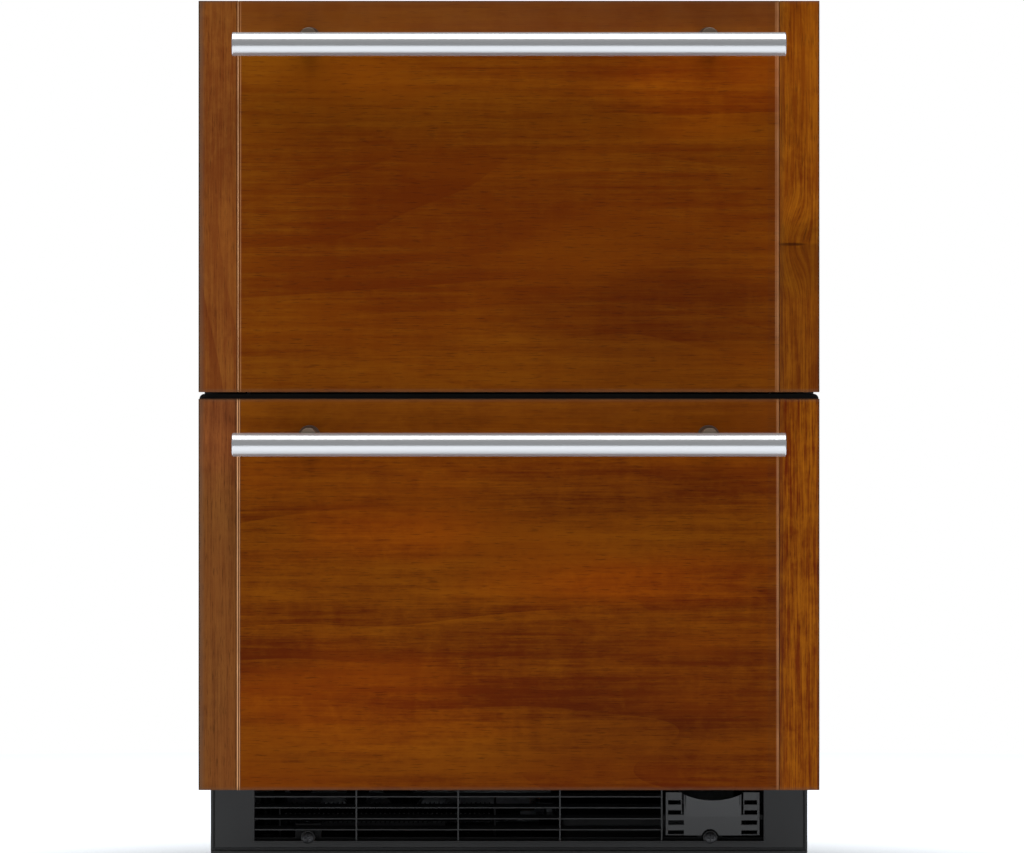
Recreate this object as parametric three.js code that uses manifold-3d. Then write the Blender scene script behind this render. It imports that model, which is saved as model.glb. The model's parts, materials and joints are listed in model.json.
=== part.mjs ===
// Undercounter drawer refrigerator: two wood-fronted drawers on telescopic slides, over a
// toe-kick grille, with its cold compartment, slides, fans, compressor and coils inside.
//
// Millimetres, +Z up. The origin is on the floor, in the middle of the overall width and depth.
// The front faces -Y. Inside the appliance group y is measured back from the cabinet's front plane.

import * as THREE from 'three';
import { mergeVertices } from 'three/addons/utils/BufferGeometryUtils.js';
import Module from 'manifold-3d';

const wasm = await Module();
wasm.setup();

// ---------------------------------------------------------------- driving dimensions

const seat = 0.25; // gap left between two pieces that rest on each other
const runningGap = 0.5; // gap between sliding rail members

const cabinetWidth = 597;
const cabinetHeight = 866;
const cabinetDepth = 546;
const sheet = 1; // steel of the shell and the back panel
const shellBottom = 95;
const shellFlange = 22; // width of the flange turned in under each side
const shellCornerRadius = 3;

const sideWall = 44.5; // outer face of the shell to the inner face of the liner
const topWall = 40;
const floorWall = 35;
const rearWall = 42;
const linerWall = 2.5;

const bayDepth = 195; // machine bay, measured in from the back
const bayCeiling = 205;
const bayInsulation = 35; // foam between the machine bay and the cold compartment

const mullionHeight = 52;
const mullionDepth = 55;
const mullionSheet = 1.5;

const floorClearance = 31;
const panInset = 9.5; // side of the pan, in from the side of the cabinet
const panSheet = 1.5;
const panLip = 13; // height of the pan's front lip
const screwTabHeight = 28;
const screwTabWidth = 26;

const footRadius = 19;
const footHeight = 12;
const stemRadius = 6;
const stemTop = 84;
const footInset = 58; // leg axis from the side of the cabinet, and from its front and back
const footHexRadius = 9.8;
const legNutRadius = 11;
const legNutHeight = 15;

const sealThickness = 11;
const sealWidth = 14;
const sealInset = 8;
const doorThickness = 38;
const doorCornerRadius = 5;
const woodThickness = 19;

const panelOverhang = 3; // the wood stands out past each side of the cabinet
const panelTopDrop = 3; // and ends this far below its top
const panelGap = 6.5; // between the two wood fronts
const lowerPanelBottom = 96.5;
const stileWidth = 39.1;
const boardChamfer = 1.2;
const lowerRimRise = 5; // the lower drawer's core stands this far above its wood
const upperRimDrop = 1.5; // and the upper one's stays this far below
const coreBottomInset = 0.8;
const plinthInset = 16; // the raised back of the core, in from the cold compartment's side wall
const plinthEndInset = 8;
const plinthDepth = 10;

const barRadius = 11.5;
const barEndInset = 33.8; // end of the bar, in from the side of the wood
const barDrop = 44.5; // bar axis below the top of the wood
const barStandoff = 45; // bar axis in front of the wood
const postInset = 74; // post axis, in from the end of the bar
const postWidth = 21;
const postRise = 18.5; // top of a post above the bar's axis
const postFall = 8; // and its underside below it

const slideHeight = 45;
const slideSheet = 1.5;
const slideFrontInset = 6;
const slideRearGap = 12; // end of the slides to the evaporator cover
const slideSpace = 14; // liner to bin, which the three members share
const upperSlideRise = 70; // upper slides' axis above the mullion
const lowerSlideRise = 77.5; // and the lower one's above the step over the machine bay

const binWall = 3;
const binRearGap = 13.7; // back of the bins to the evaporator cover
const binCornerRadius = 14;
const upperBinHeadroom = 61.25; // over the upper bin, for the controls and the fan's air
const lowerBinHeadroom = 14.75;
const binFloorClearance = 9;
const binFrontGap = 0.3;
const dividerThickness = 3;
const dividerShare = 0.76; // of the bin's height
const dividerHook = 12;

const kickInset = 5.5; // side of the kick plate, in from the side of the cabinet
const kickBottom = 29;
const kickSetback = 12; // kick face behind the cabinet's front plane
const kickFace = 3;
const kickDepth = 14;
const kickWall = 2.5;
const kickCornerRadius = 6;
const kickCrease = 3; // height of the crease along the lower edge
const kickCreaseDepth = 0.8;
const grilleInset = 48.5; // side of the grille's opening, in from the side of the cabinet
const grilleBays = 5;
const grilleBottom = 42.8;
const grilleHeight = 48;
const louvreCount = 4;
const louvrePitch = 10.8;
const louvreThickness = 1.6;
const louvreDepth = 10;
const louvreTilt = THREE.MathUtils.degToRad(18);
const uprightThickness = 2;

const coverSideGap = 3.75; // cover to the uprights' middle
const coverThickness = 3;
const coverDepth = 9;
const coverBottomGap = 5.1;
const coverSideSlots = 4;
const coverSlotPitch = 9.9;
const coverSlotHeight = 3.9;
const coverSlotLength = 16.4;
const coverPadWidth = 55;
const coverPadRise = 2.2; // the finger pull stands out this far at its top
const coverPadLength = 24; // and runs out to nothing this far down
const notchRadius = 70;
const notchDepth = 8.3;

const grilleScrewInset = 101; // screw axis, in from the side of the cabinet
const grilleScrewHeight = 45.7;
const screwHeadRadius = 5.75;
const screwHeadHeight = 2.6;
const screwShankRadius = 2.4;
const screwBossRadius = 7;
const screwClearance = 0.3;

const evaporatorSpace = 66; // depth kept behind the upper bin for coil, fan and cover
const evaporatorPasses = 5;
const evaporatorFins = 4;
const evaporatorFinHalf = 18; // half the fins' depth
const evaporatorFinReach = 12; // fins past the first and the last pass
const evaporatorSideGap = 104; // coil to the liner's side
const evaporatorRise = 55; // first pass above the compartment's floor
const evaporatorBack = 30; // tube axis in front of the liner's rear wall
const evaporatorFanDrop = 70; // fan axis below the compartment's ceiling
const evaporatorFanGap = 31.25; // last pass below the fan's blades
const coverSheet = 3;
const returnSlotCount = 8; // air slots along the foot of the evaporator cover
const returnSlotRise = 24;
const returnSlotHeight = 7;
const evaporatorFanRadius = 44;
const condenserFanRadius = 52;
const condenserPasses = 7;
const condenserFirst = 80; // first pass behind the cabinet's front plane
const condenserBayGap = 79; // last pass in front of the machine bay
const condenserRise = 29.5; // tube axis above the pan
const condenserPlateInset = 22;
const condenserSideGap = 40; // coil to the side of the pan
const dischargeRun = 16; // discharge line's run from the condenser to its bend
const coilTubeRadius = 3.5;
const lineRadius = 4;
const lineSideGap = 30; // the suction line's run down the back, in from the liner's side
const lineChannel = 20;

const compressorSideGap = 188.5; // compressor axis to the side of the cabinet
const compressorBackGap = 100;
const compressorRadius = 68;
const compressorHeight = 150;
const compressorFootHeight = 10;
const pegRadius = 11;
const compressorStubLength = 22;
const condenserFanSideGap = 168.5; // fan axis to the side of the cabinet
const condenserFanBayGap = 22;
const motorRadius = 20;
const motorLength = 30;
const motorPlateHalf = 32;
const motorFootDepth = 22;
const drainPanShift = 60; // its left side, to the left of the compressor's axis
const drainPanGap = 24; // to the pan's side and to the machine bay
const drainPanFirst = 86; // its front wall behind the cabinet's front plane
const drainPanHeight = 30;
const drainPanWall = 2;
const drainPanRadius = 10;

const controlWidth = 220;
const controlHeight = 33;
const controlDepth = 66;
const controlSetback = 4;
const buttonWidth = 16;
const buttonHeight = 10;
const buttonDepth = 7;
const buttonProud = 2;
const buttonTravel = 1.5;
const buttonOffset = 45;
const lensRecessDepth = 4;

const glandRadius = 10.75;
const glandFlangeRadius = 15;
const glandFlange = 3;
const glandBore = 4.5;
const glandSideGap = 78.5; // gland axis to the side of the cabinet
const glandZ = 70;

// ---------------------------------------------------------------- places worked out from them

const interiorHalf = cabinetWidth / 2 - sideWall;
const interiorTop = cabinetHeight - topWall;
const interiorFloor = shellBottom + floorWall;
const interiorRear = cabinetDepth - rearWall;
const bayFront = cabinetDepth - bayDepth;
const panWidth = cabinetWidth - 2 * panInset;
const panelWidth = cabinetWidth + 2 * panelOverhang;
const panelHeight = (cabinetHeight - panelTopDrop - lowerPanelBottom - panelGap) / 2;
const barLength = panelWidth - 2 * barEndInset;
const postSpacing = barLength - 2 * postInset;
const kickWidth = cabinetWidth - 2 * kickInset;
const grilleBay = (cabinetWidth - 2 * grilleInset) / grilleBays; // between the uprights
const coverWidth = grilleBay - 2 * coverSideGap;
const grilleScrewSpacing = cabinetWidth - 2 * grilleScrewInset;
const humpFront = bayFront - bayInsulation - linerWall;
const humpTop = bayCeiling + bayInsulation + linerWall;

const upperPanelBottom = lowerPanelBottom + panelHeight + panelGap;
const mullionMiddle = upperPanelBottom - panelGap / 2;
const mullionBottom = mullionMiddle - mullionHeight / 2;
const mullionTop = mullionMiddle + mullionHeight / 2;

const doorBack = -sealThickness;
const woodBack = doorBack - doorThickness;
const woodFront = woodBack - woodThickness;
const barAxisY = woodFront - barStandoff;

const overallDepth = barRadius - barAxisY + cabinetDepth + glandFlange;
const cabinetFrontY = barRadius - barAxisY - overallDepth / 2;

const binHalf = interiorHalf - slideSpace;
const coverPlaneY = interiorRear - evaporatorSpace;
const slideLength = coverPlaneY - slideRearGap - slideFrontInset;
const panTop = floorClearance + panSheet;
const grilleHalf = (grilleBay * grilleBays) / 2;
const lineX = interiorHalf - lineSideGap;
const compressorX = cabinetWidth / 2 - compressorSideGap;
const glandX = glandSideGap - cabinetWidth / 2;
const kickBack = kickSetback + kickDepth;

// ---------------------------------------------------------------- solids: boxes, prisms, booleans

/** A closed geometry as a manifold-3d solid. */
function solidOf(geometry) {
  const bare = geometry.index ? geometry.toNonIndexed() : geometry.clone();
  bare.deleteAttribute('normal');
  bare.deleteAttribute('uv');
  const merged = mergeVertices(bare, 1e-4);
  return new wasm.Manifold(
    new wasm.Mesh({
      numProp: 3,
      vertProperties: merged.attributes.position.array,
      triVerts: new Uint32Array(merged.index.array),
    }),
  );
}

/** A manifold-3d solid as a three.js geometry. */
function geometryOf(solid) {
  const mesh = solid.getMesh();
  return new THREE.BufferGeometry()
    .setAttribute('position', new THREE.BufferAttribute(new Float32Array(mesh.vertProperties), 3))
    .setIndex(new THREE.BufferAttribute(new Uint32Array(mesh.triVerts), 1));
}

const join = (...shapes) => geometryOf(shapes.map(solidOf).reduce((a, b) => a.add(b)));

const cut = (shape, ...tools) =>
  geometryOf(tools.map(solidOf).reduce((a, b) => a.subtract(b), solidOf(shape)));

/** A box between two corners. */
function box(x0, x1, y0, y1, z0, z1) {
  return new THREE.BoxGeometry(x1 - x0, y1 - y0, z1 - z0).translate(
    (x0 + x1) / 2,
    (y0 + y1) / 2,
    (z0 + z1) / 2,
  );
}

/** A box that is symmetric about x = 0. */
const wideBox = (half, y0, y1, z0, z1) => box(-half, half, y0, y1, z0, z1);

/** Extrudes an outline and carries its axes onto the given ones. */
function prism(shape, depth, xAxis, yAxis, zAxis, curveSegments) {
  const made = new THREE.ExtrudeGeometry(shape, { depth, bevelEnabled: false, curveSegments });
  return made.applyMatrix4(new THREE.Matrix4().makeBasis(xAxis, yAxis, zAxis));
}

const X = new THREE.Vector3(1, 0, 0);
const Y = new THREE.Vector3(0, 1, 0);
const Z = new THREE.Vector3(0, 0, 1);
const MINUS_Y = new THREE.Vector3(0, -1, 0);

/** An outline drawn in x and z, extruded from y0 to y1. */
const prismAlongY = (shape, y0, y1, curveSegments = 4) =>
  prism(shape, y1 - y0, X, Z, MINUS_Y, curveSegments).translate(0, y1, 0);

/** An outline drawn in y and z, extruded from x0 to x1. */
const prismAlongX = (shape, x0, x1, curveSegments = 4) =>
  prism(shape, x1 - x0, Y, Z, X, curveSegments).translate(x0, 0, 0);

/** An outline drawn in x and y, extruded from z0 to z1. */
const prismAlongZ = (shape, z0, z1, curveSegments = 4) =>
  prism(shape, z1 - z0, X, Y, Z, curveSegments).translate(0, 0, z0);

/** A closed outline through the given points. */
const outline = (points) => new THREE.Shape(points.map(([a, b]) => new THREE.Vector2(a, b)));

/** A rectangle whose two lower and two upper corners have their own radii. */
function roundedRectangle(a0, a1, b0, b1, lowerRadius, upperRadius = lowerRadius) {
  const shape = new THREE.Shape();
  const corner = (a, b, radius, start) => {
    if (radius > 0) shape.absarc(a, b, radius, start, start + Math.PI / 2, false);
    else shape.lineTo(a, b);
  };
  shape.moveTo(a0 + lowerRadius, b0);
  corner(a1 - lowerRadius, b0 + lowerRadius, lowerRadius, -Math.PI / 2);
  corner(a1 - upperRadius, b1 - upperRadius, upperRadius, 0);
  corner(a0 + upperRadius, b1 - upperRadius, upperRadius, Math.PI / 2);
  corner(a0 + lowerRadius, b0 + lowerRadius, lowerRadius, Math.PI);
  return shape;
}

/** A round bar along y, from y0 to y1. */
function rodAlongY(radius, x, z, y0, y1, sides = 20) {
  return new THREE.CylinderGeometry(radius, radius, y1 - y0, sides).translate(x, (y0 + y1) / 2, z);
}

/** A round bar along z, from z0 to z1. */
function rodAlongZ(radius, x, y, z0, z1, sides = 20) {
  return new THREE.CylinderGeometry(radius, radius, z1 - z0, sides)
    .rotateX(Math.PI / 2)
    .translate(x, y, (z0 + z1) / 2);
}

/** A solid of revolution about z, from [radius, height] points that start and end on the axis. */
function turned(profile, sides = 16) {
  const points = profile.map(([radius, height]) => new THREE.Vector2(radius, height));
  return new THREE.LatheGeometry(points, sides).rotateX(Math.PI / 2);
}

// ---------------------------------------------------------------- bent tubes

/** Replaces each inner corner of a polyline with an arc of the given radius. */
function filleted(corners, radius, steps = 2) {
  const points = [corners[0]];
  for (let i = 1; i < corners.length - 1; i++) {
    const before = corners[i - 1].clone().sub(corners[i]).normalize();
    const after = corners[i + 1].clone().sub(corners[i]).normalize();
    const halfAngle = before.angleTo(after) / 2;
    const middle = before.clone().add(after).normalize();
    const centre = corners[i].clone().addScaledVector(middle, radius / Math.sin(halfAngle));
    const from = corners[i].clone().addScaledVector(before, radius / Math.tan(halfAngle));
    const axis = after.clone().cross(before).normalize();
    const sweep = Math.PI - 2 * halfAngle;
    for (let s = 0; s <= steps; s++) {
      const arm = from.clone().sub(centre).applyAxisAngle(axis, (sweep * s) / steps);
      points.push(centre.clone().add(arm));
    }
  }
  points.push(corners[corners.length - 1]);
  return points.filter((p, i) => i === 0 || p.distanceTo(points[i - 1]) > 1e-3);
}

/** A closed tube whose rings stand square to a path of points. */
function tube(path, radius, sides = 6) {
  const position = [];
  const index = [];
  const tangentAt = (i) =>
    path[Math.min(i + 1, path.length - 1)].clone().sub(path[Math.max(i - 1, 0)]).normalize();
  let tangent = tangentAt(0);
  let side = new THREE.Vector3(0.31, 0.57, 0.76).cross(tangent).normalize();
  path.forEach((point, i) => {
    const next = tangentAt(i);
    side.applyQuaternion(new THREE.Quaternion().setFromUnitVectors(tangent, next));
    tangent = next;
    const up = tangent.clone().cross(side);
    for (let s = 0; s < sides; s++) {
      const angle = (2 * Math.PI * s) / sides;
      const p = point
        .clone()
        .addScaledVector(side, radius * Math.cos(angle))
        .addScaledVector(up, radius * Math.sin(angle));
      position.push(p.x, p.y, p.z);
    }
  });
  for (let i = 0; i < path.length - 1; i++) {
    for (let s = 0; s < sides; s++) {
      const a = i * sides + s;
      const b = i * sides + ((s + 1) % sides);
      index.push(a, b, b + sides, a, b + sides, a + sides);
    }
  }
  const last = (path.length - 1) * sides;
  for (let s = 1; s < sides - 1; s++) {
    index.push(0, s + 1, s);
    index.push(last, last + s, last + s + 1);
  }
  return new THREE.BufferGeometry()
    .setAttribute('position', new THREE.BufferAttribute(new Float32Array(position), 3))
    .setIndex(index);
}

/** A tube that runs to and fro along x, one pass for each step that `place` gives. */
function serpentine(passes, x0, x1, pitch, radius, place) {
  const corners = [];
  for (let i = 0; i < passes; i++) {
    const ends = i % 2 ? [x1, x0] : [x0, x1];
    ends.forEach((x) => corners.push(place(x, i * pitch)));
  }
  return tube(filleted(corners, pitch / 2 - 0.01), radius);
}

// ---------------------------------------------------------------- finishes

const finish = (color, roughness, metalness = 0) =>
  new THREE.MeshStandardMaterial({ color, roughness, metalness });

const finishes = {
  wood: finish(0x673207, 0.42),
  stileWood: finish(0x7a4114, 0.42),
  blackPaint: finish(0x1c1c1d, 0.45, 0.2),
  galvanised: finish(0x9a9da0, 0.5, 0.8),
  kickPlastic: finish(0x2b2b2c, 0.5),
  coverPlastic: finish(0x414142, 0.5),
  doorCore: finish(0x141415, 0.5),
  gasket: finish(0x1b1b1c, 0.75),
  brushedSteel: finish(0xc8cacc, 0.28, 1),
  zincSteel: finish(0xb4b8bb, 0.35, 0.9),
  liner: finish(0xe9ebec, 0.4),
  foam: finish(0xe6d9a8, 0.9),
  bin: finish(0xdde1e4, 0.3),
  copper: finish(0xb5673c, 0.35, 0.9),
  aluminium: finish(0xbfc3c6, 0.4, 0.8),
  compressor: finish(0x151516, 0.35, 0.3),
  motor: finish(0x53565a, 0.5, 0.4),
  fanPlastic: finish(0x2a2c2f, 0.5),
  rubber: finish(0x202021, 0.85),
  screw: finish(0x101011, 0.35, 0.6),
};

const group = (...children) => new THREE.Group().add(...children);

function piece(name, geometry, material, x = 0, y = 0, z = 0) {
  const mesh = new THREE.Mesh(geometry, material);
  mesh.name = name;
  mesh.position.set(x, y, z);
  return mesh;
}

// ---------------------------------------------------------------- cabinet

/** The liner's side profile, grown by `grow`; `front` is where it starts. */
function compartmentProfile(grow, front) {
  return outline([
    [front, interiorFloor - grow],
    [humpFront + grow, interiorFloor - grow],
    [humpFront + grow, humpTop - grow],
    [interiorRear + grow, humpTop - grow],
    [interiorRear + grow, interiorTop + grow],
    [front, interiorTop + grow],
  ]);
}

/** Wrap of steel sheet with a face ring in front and a stepped deck below. */
function cabinetShell() {
  const half = cabinetWidth / 2;
  const back = cabinetDepth - sheet - seat;
  const opening = linerWall + seat;
  const wrap = cut(
    prismAlongY(
      roundedRectangle(-half, half, shellBottom, cabinetHeight, 0, shellCornerRadius),
      0,
      back,
      3,
    ),
    wideBox(half - sheet, sheet, back + 1, shellBottom + sheet, cabinetHeight - sheet),
    wideBox(half - shellFlange, bayFront + sheet, back + 1, shellBottom - 1, shellBottom + 2 * sheet),
    wideBox(
      interiorHalf + opening,
      -1,
      2 * sheet,
      interiorFloor - opening,
      interiorTop + opening,
    ),
  );
  const riser = wideBox(half - sheet / 2, bayFront, bayFront + sheet, shellBottom, bayCeiling + sheet);
  const ceiling = wideBox(half - sheet / 2, bayFront, back, bayCeiling, bayCeiling + sheet);
  const lineHole = rodAlongZ(lineRadius + screwClearance, lineX, lineDropY, bayCeiling - 1, bayCeiling + 2);
  return piece('cabinet_shell', cut(join(wrap, riser, ceiling), lineHole), finishes.blackPaint);
}

const lineDropY = (interiorRear + linerWall + cabinetDepth - sheet) / 2;
const evaporatorFanZ = interiorTop - evaporatorFanDrop;
const evaporatorBottom = mullionTop + evaporatorRise;
const lineTopZ = evaporatorFanZ - evaporatorFanRadius - evaporatorFanGap; // the coil's outlet
const evaporatorPitch = (lineTopZ - evaporatorBottom) / (evaporatorPasses - 1);

function backPanel() {
  const half = cabinetWidth / 2;
  const panHalf = panWidth / 2;
  const plate = prismAlongY(
    outline([
      [-panHalf, floorClearance],
      [panHalf, floorClearance],
      [panHalf, shellBottom],
      [half, shellBottom],
      [half, cabinetHeight],
      [-half, cabinetHeight],
      [-half, shellBottom],
      [-panHalf, shellBottom],
    ]),
    cabinetDepth - sheet,
    cabinetDepth,
  );
  const glandHole = rodAlongY(glandRadius + seat, glandX, glandZ, cabinetDepth - 5, cabinetDepth + 5);
  return piece('back_panel', cut(plate, glandHole), finishes.galvanised);
}

/** Snap-in bushing in the back panel, where the supply cord would enter. */
function cordGland() {
  const bushing = turned([
    [glandBore, -9],
    [glandRadius + 1.5, -9],
    [glandRadius + 2, -sheet - 2 * seat],
    [glandRadius, -sheet - 2 * seat],
    [glandRadius, seat],
    [glandFlangeRadius, seat],
    [glandFlangeRadius - 1, glandFlange],
    [glandBore, glandFlange],
    [glandBore, -9],
  ]);
  const facingBack = bushing.rotateX(-Math.PI / 2);
  return piece('cord_gland', facingBack, finishes.rubber, glandX, cabinetDepth, glandZ);
}

function insulationFoam() {
  const back = cabinetDepth - sheet - seat;
  const block = wideBox(
    cabinetWidth / 2 - sheet - seat,
    sheet + seat,
    back,
    shellBottom + sheet + seat,
    cabinetHeight - sheet - seat,
  );
  const compartment = prismAlongX(
    compartmentProfile(linerWall + seat, -10),
    -interiorHalf - linerWall - seat,
    interiorHalf + linerWall + seat,
  );
  const bay = wideBox(cabinetWidth, bayFront - seat, back + 1, 0, bayCeiling + sheet + seat);
  const channel = box(
    lineX - lineChannel / 2,
    lineX + lineChannel / 2,
    interiorRear,
    back + 1,
    bayCeiling,
    lineTopZ + lineChannel / 2,
  );
  return piece('insulation_foam', cut(block, compartment, bay, channel), finishes.foam);
}

function innerLiner() {
  const outer = prismAlongX(
    compartmentProfile(linerWall, 0),
    -interiorHalf - linerWall,
    interiorHalf + linerWall,
  );
  const inner = prismAlongX(compartmentProfile(0, -10), -interiorHalf, interiorHalf);
  const lineHole = rodAlongY(
    lineRadius + screwClearance,
    lineX,
    lineTopZ,
    interiorRear - 5,
    interiorRear + linerWall + 5,
  );
  return piece('inner_liner', cut(outer, inner, lineHole), finishes.liner);
}

/** Steel channel across the opening, which the two seals close against. */
function frontMullion() {
  const half = interiorHalf - seat;
  const bar = cut(
    wideBox(half, 0, mullionDepth, mullionBottom, mullionTop),
    wideBox(
      half - mullionSheet,
      mullionSheet,
      mullionDepth + 1,
      mullionBottom + mullionSheet,
      mullionTop - mullionSheet,
    ),
  );
  return piece('front_mullion', bar, finishes.blackPaint);
}

// ---------------------------------------------------------------- base: pan, legs, kick grille

const legPlaces = {
  front_left: [-1, footInset],
  front_right: [1, footInset],
  rear_left: [-1, cabinetDepth - footInset],
  rear_right: [1, cabinetDepth - footInset],
};
const legX = cabinetWidth / 2 - footInset;

function basePan() {
  const half = panWidth / 2;
  const front = kickBack + seat;
  const back = cabinetDepth - sheet - seat;
  const top = shellBottom - seat;
  const tray = cut(
    wideBox(half, front, back, floorClearance, top),
    wideBox(half - panSheet, front + panSheet, back + 1, panTop, top + 1),
    wideBox(half - panSheet, front - 1, front + 2 * panSheet, panTop + panLip, top + 1),
  );
  const tabs = [-1, 1].map((side) => {
    const x = (side * grilleScrewSpacing) / 2;
    return box(
      x - screwTabWidth / 2,
      x + screwTabWidth / 2,
      front,
      front + panSheet,
      floorClearance,
      floorClearance + screwTabHeight,
    );
  });
  const nuts = Object.values(legPlaces).map(([side, y]) =>
    rodAlongZ(legNutRadius, side * legX, y, floorClearance, panTop + legNutHeight, 12),
  );
  const bores = Object.values(legPlaces).map(([side, y]) =>
    rodAlongZ(stemRadius + screwClearance, side * legX, y, 0, panTop + legNutHeight + 1, 12),
  );
  const screwHoles = [-1, 1].map((side) =>
    rodAlongY(
      screwShankRadius + screwClearance,
      (side * grilleScrewSpacing) / 2,
      grilleScrewHeight,
      front - 1,
      front + panSheet + 1,
      12,
    ),
  );
  return piece('base_pan', cut(join(tray, ...tabs, ...nuts), ...bores, ...screwHoles), finishes.blackPaint);
}

/** Levelling leg, screwed right in: its hexagon is up against the pan. */
function legs() {
  const foot = turned(
    [
      [0, 0],
      [footRadius - 1.5, 0],
      [footRadius, 2],
      [footRadius, 4],
      [stemRadius, footHeight],
      [stemRadius, stemTop - 2],
      [stemRadius - 2, stemTop],
      [0, stemTop],
    ],
    12,
  );
  const hexagon = rodAlongZ(footHexRadius, 0, 0, footHeight - 1, floorClearance - seat, 6);
  const leg = join(foot, hexagon);
  return Object.entries(legPlaces).map(([place, [side, y]]) =>
    piece('leg_' + place, leg, finishes.screw, side * legX, y, 0),
  );
}

/** Kick plate with its louvred opening; the drawn face is in x and z. */
function kickGrille() {
  const half = kickWidth / 2;
  const top = shellBottom - 2 * seat;
  const face = kickSetback;
  const outer = roundedRectangle(-half, half, kickBottom, top, kickCornerRadius, 1);
  const hollow = roundedRectangle(
    -half + kickWall,
    half - kickWall,
    kickBottom + kickWall,
    top - kickWall,
    kickCornerRadius - kickWall,
    0,
  );
  const grilleTop = grilleBottom + grilleHeight;
  const creaseBottom = kickBottom + kickCrease;
  const reveal = wideBox(grilleHalf + kickWall, face, face + kickDepth, grilleBottom - kickWall, top);
  const plate = cut(
    join(
      cut(prismAlongY(outer, face, face + kickDepth), prismAlongY(hollow, face + kickFace, kickBack + 1)),
      reveal,
    ),
    wideBox(grilleHalf, face - 1, kickBack + 1, grilleBottom, grilleTop),
    wideBox(half + 1, face - 1, face + kickCreaseDepth, creaseBottom, creaseBottom + kickCrease),
  );
  const uprights = Array.from({ length: grilleBays - 1 }, (_, i) => {
    const x = -grilleHalf + grilleBay * (i + 1);
    return box(
      x - uprightThickness / 2,
      x + uprightThickness / 2,
      face + 1,
      face + 1 + louvreDepth,
      grilleBottom - 1,
      grilleTop + 1,
    );
  });
  const lastUpright = grilleHalf - grilleBay;
  const louvres = Array.from({ length: louvreCount }, (_, i) =>
    new THREE.BoxGeometry(grilleHalf + lastUpright + 1, louvreDepth, louvreThickness)
      .rotateX(louvreTilt)
      .translate(
        (lastUpright - grilleHalf - 1) / 2,
        face + 1 + louvreDepth / 2,
        grilleBottom + louvrePitch * (i + 1) + (Math.sin(louvreTilt) * louvreDepth) / 2,
      ),
  );
  const bosses = screwSides((x) =>
    rodAlongY(screwBossRadius, x, grilleScrewHeight, face, face + kickDepth, 16),
  );
  const holes = screwSides((x) =>
    rodAlongY(screwShankRadius + screwClearance, x, grilleScrewHeight, face - 1, kickBack + 1, 12),
  );
  return piece(
    'kick_grille',
    cut(join(plate, ...uprights, ...louvres, ...bosses), ...holes),
    finishes.kickPlastic,
  );
}

const screwSides = (make) => [-1, 1].map((side) => make((side * grilleScrewSpacing) / 2));

function grilleScrews() {
  const tip = kickBack - kickSetback + panSheet + 6;
  const [recessFront, recessBack] = [-screwHeadHeight - 1, -screwHeadHeight / 2];
  const head = rodAlongY(screwHeadRadius, 0, 0, -screwHeadHeight, -seat, 16);
  const shank = rodAlongY(screwShankRadius, 0, 0, -seat - 1, tip, 12);
  const reach = screwHeadRadius * 0.55;
  const across = wideBox(reach, recessFront, recessBack, -0.6, 0.6);
  const upright = wideBox(0.6, recessFront, recessBack, -reach, reach);
  const screw = cut(join(head, shank), across, upright);
  const [left, right] = screwSides((x) => x);
  return [
    piece('grille_screw_left', screw, finishes.screw, left, kickSetback, grilleScrewHeight),
    piece('grille_screw_right', screw, finishes.screw, right, kickSetback, grilleScrewHeight),
  ];
}

/** Slotted cover in the grille's right-hand bay, with a notched finger pull at its top. */
function grilleAccessCover() {
  const middle = grilleHalf - grilleBay / 2;
  const bottom = grilleBottom + coverBottomGap;
  const top = grilleBottom + grilleHeight - seat;
  const face = kickSetback + coverPadRise;
  const back = face + coverDepth;
  const half = coverWidth / 2;
  const shell = cut(
    prismAlongY(roundedRectangle(-half, half, bottom, top, 1.5), face, back, 2),
    wideBox(half - 2, face + coverThickness, back + 1, bottom + 2, top - 2),
  );
  const pull = outline([
    [face + 1, top],
    [face - coverPadRise, top],
    [face - coverPadRise, top - 4],
    [face, top - coverPadLength],
    [face + 1, top - coverPadLength],
  ]);
  const pad = prismAlongX(pull, -coverPadWidth / 2, coverPadWidth / 2);
  const armReach = grilleBay / 2 - uprightThickness / 2 - seat;
  const clips = box(-armReach, grilleBay / 2 - seat, back - 3, back - 1, bottom + 14, bottom + 24);
  const notchTop = top + 2 * notchRadius;
  const notch = cut(
    rodAlongY(notchRadius, 0, top - notchDepth + notchRadius, face - 5, back + 1, 72),
    box(-notchRadius - 1, -coverPadWidth / 2, face - 6, back + 2, bottom, notchTop),
    box(coverPadWidth / 2, notchRadius + 1, face - 6, back + 2, bottom, notchTop),
  );
  const screwX = grilleScrewSpacing / 2 - middle;
  const relief = rodAlongY(screwBossRadius + 1.5, screwX, grilleScrewHeight, face - 5, back + 1, 16);
  const slots = [-1, 1].flatMap((side) =>
    Array.from({ length: coverSideSlots }, (_, i) => {
      const z = bottom + 2.8 + coverSlotPitch * i;
      const outer = side * (half - 2);
      const inner = outer - side * (coverSlotLength - (i >= coverSideSlots / 2 ? 3 : 0));
      const [x0, x1] = [Math.min(outer, inner), Math.max(outer, inner)];
      const [z0, z1] = [z - coverSlotHeight / 2, z + coverSlotHeight / 2];
      return box(x0, x1, face - 5, face + coverThickness + 1, z0, z1);
    }),
  );
  return piece(
    'grille_access_cover',
    cut(join(shell, pad, clips), notch, relief, ...slots),
    finishes.coverPlastic,
    middle,
  );
}

// ---------------------------------------------------------------- cooling system

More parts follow.
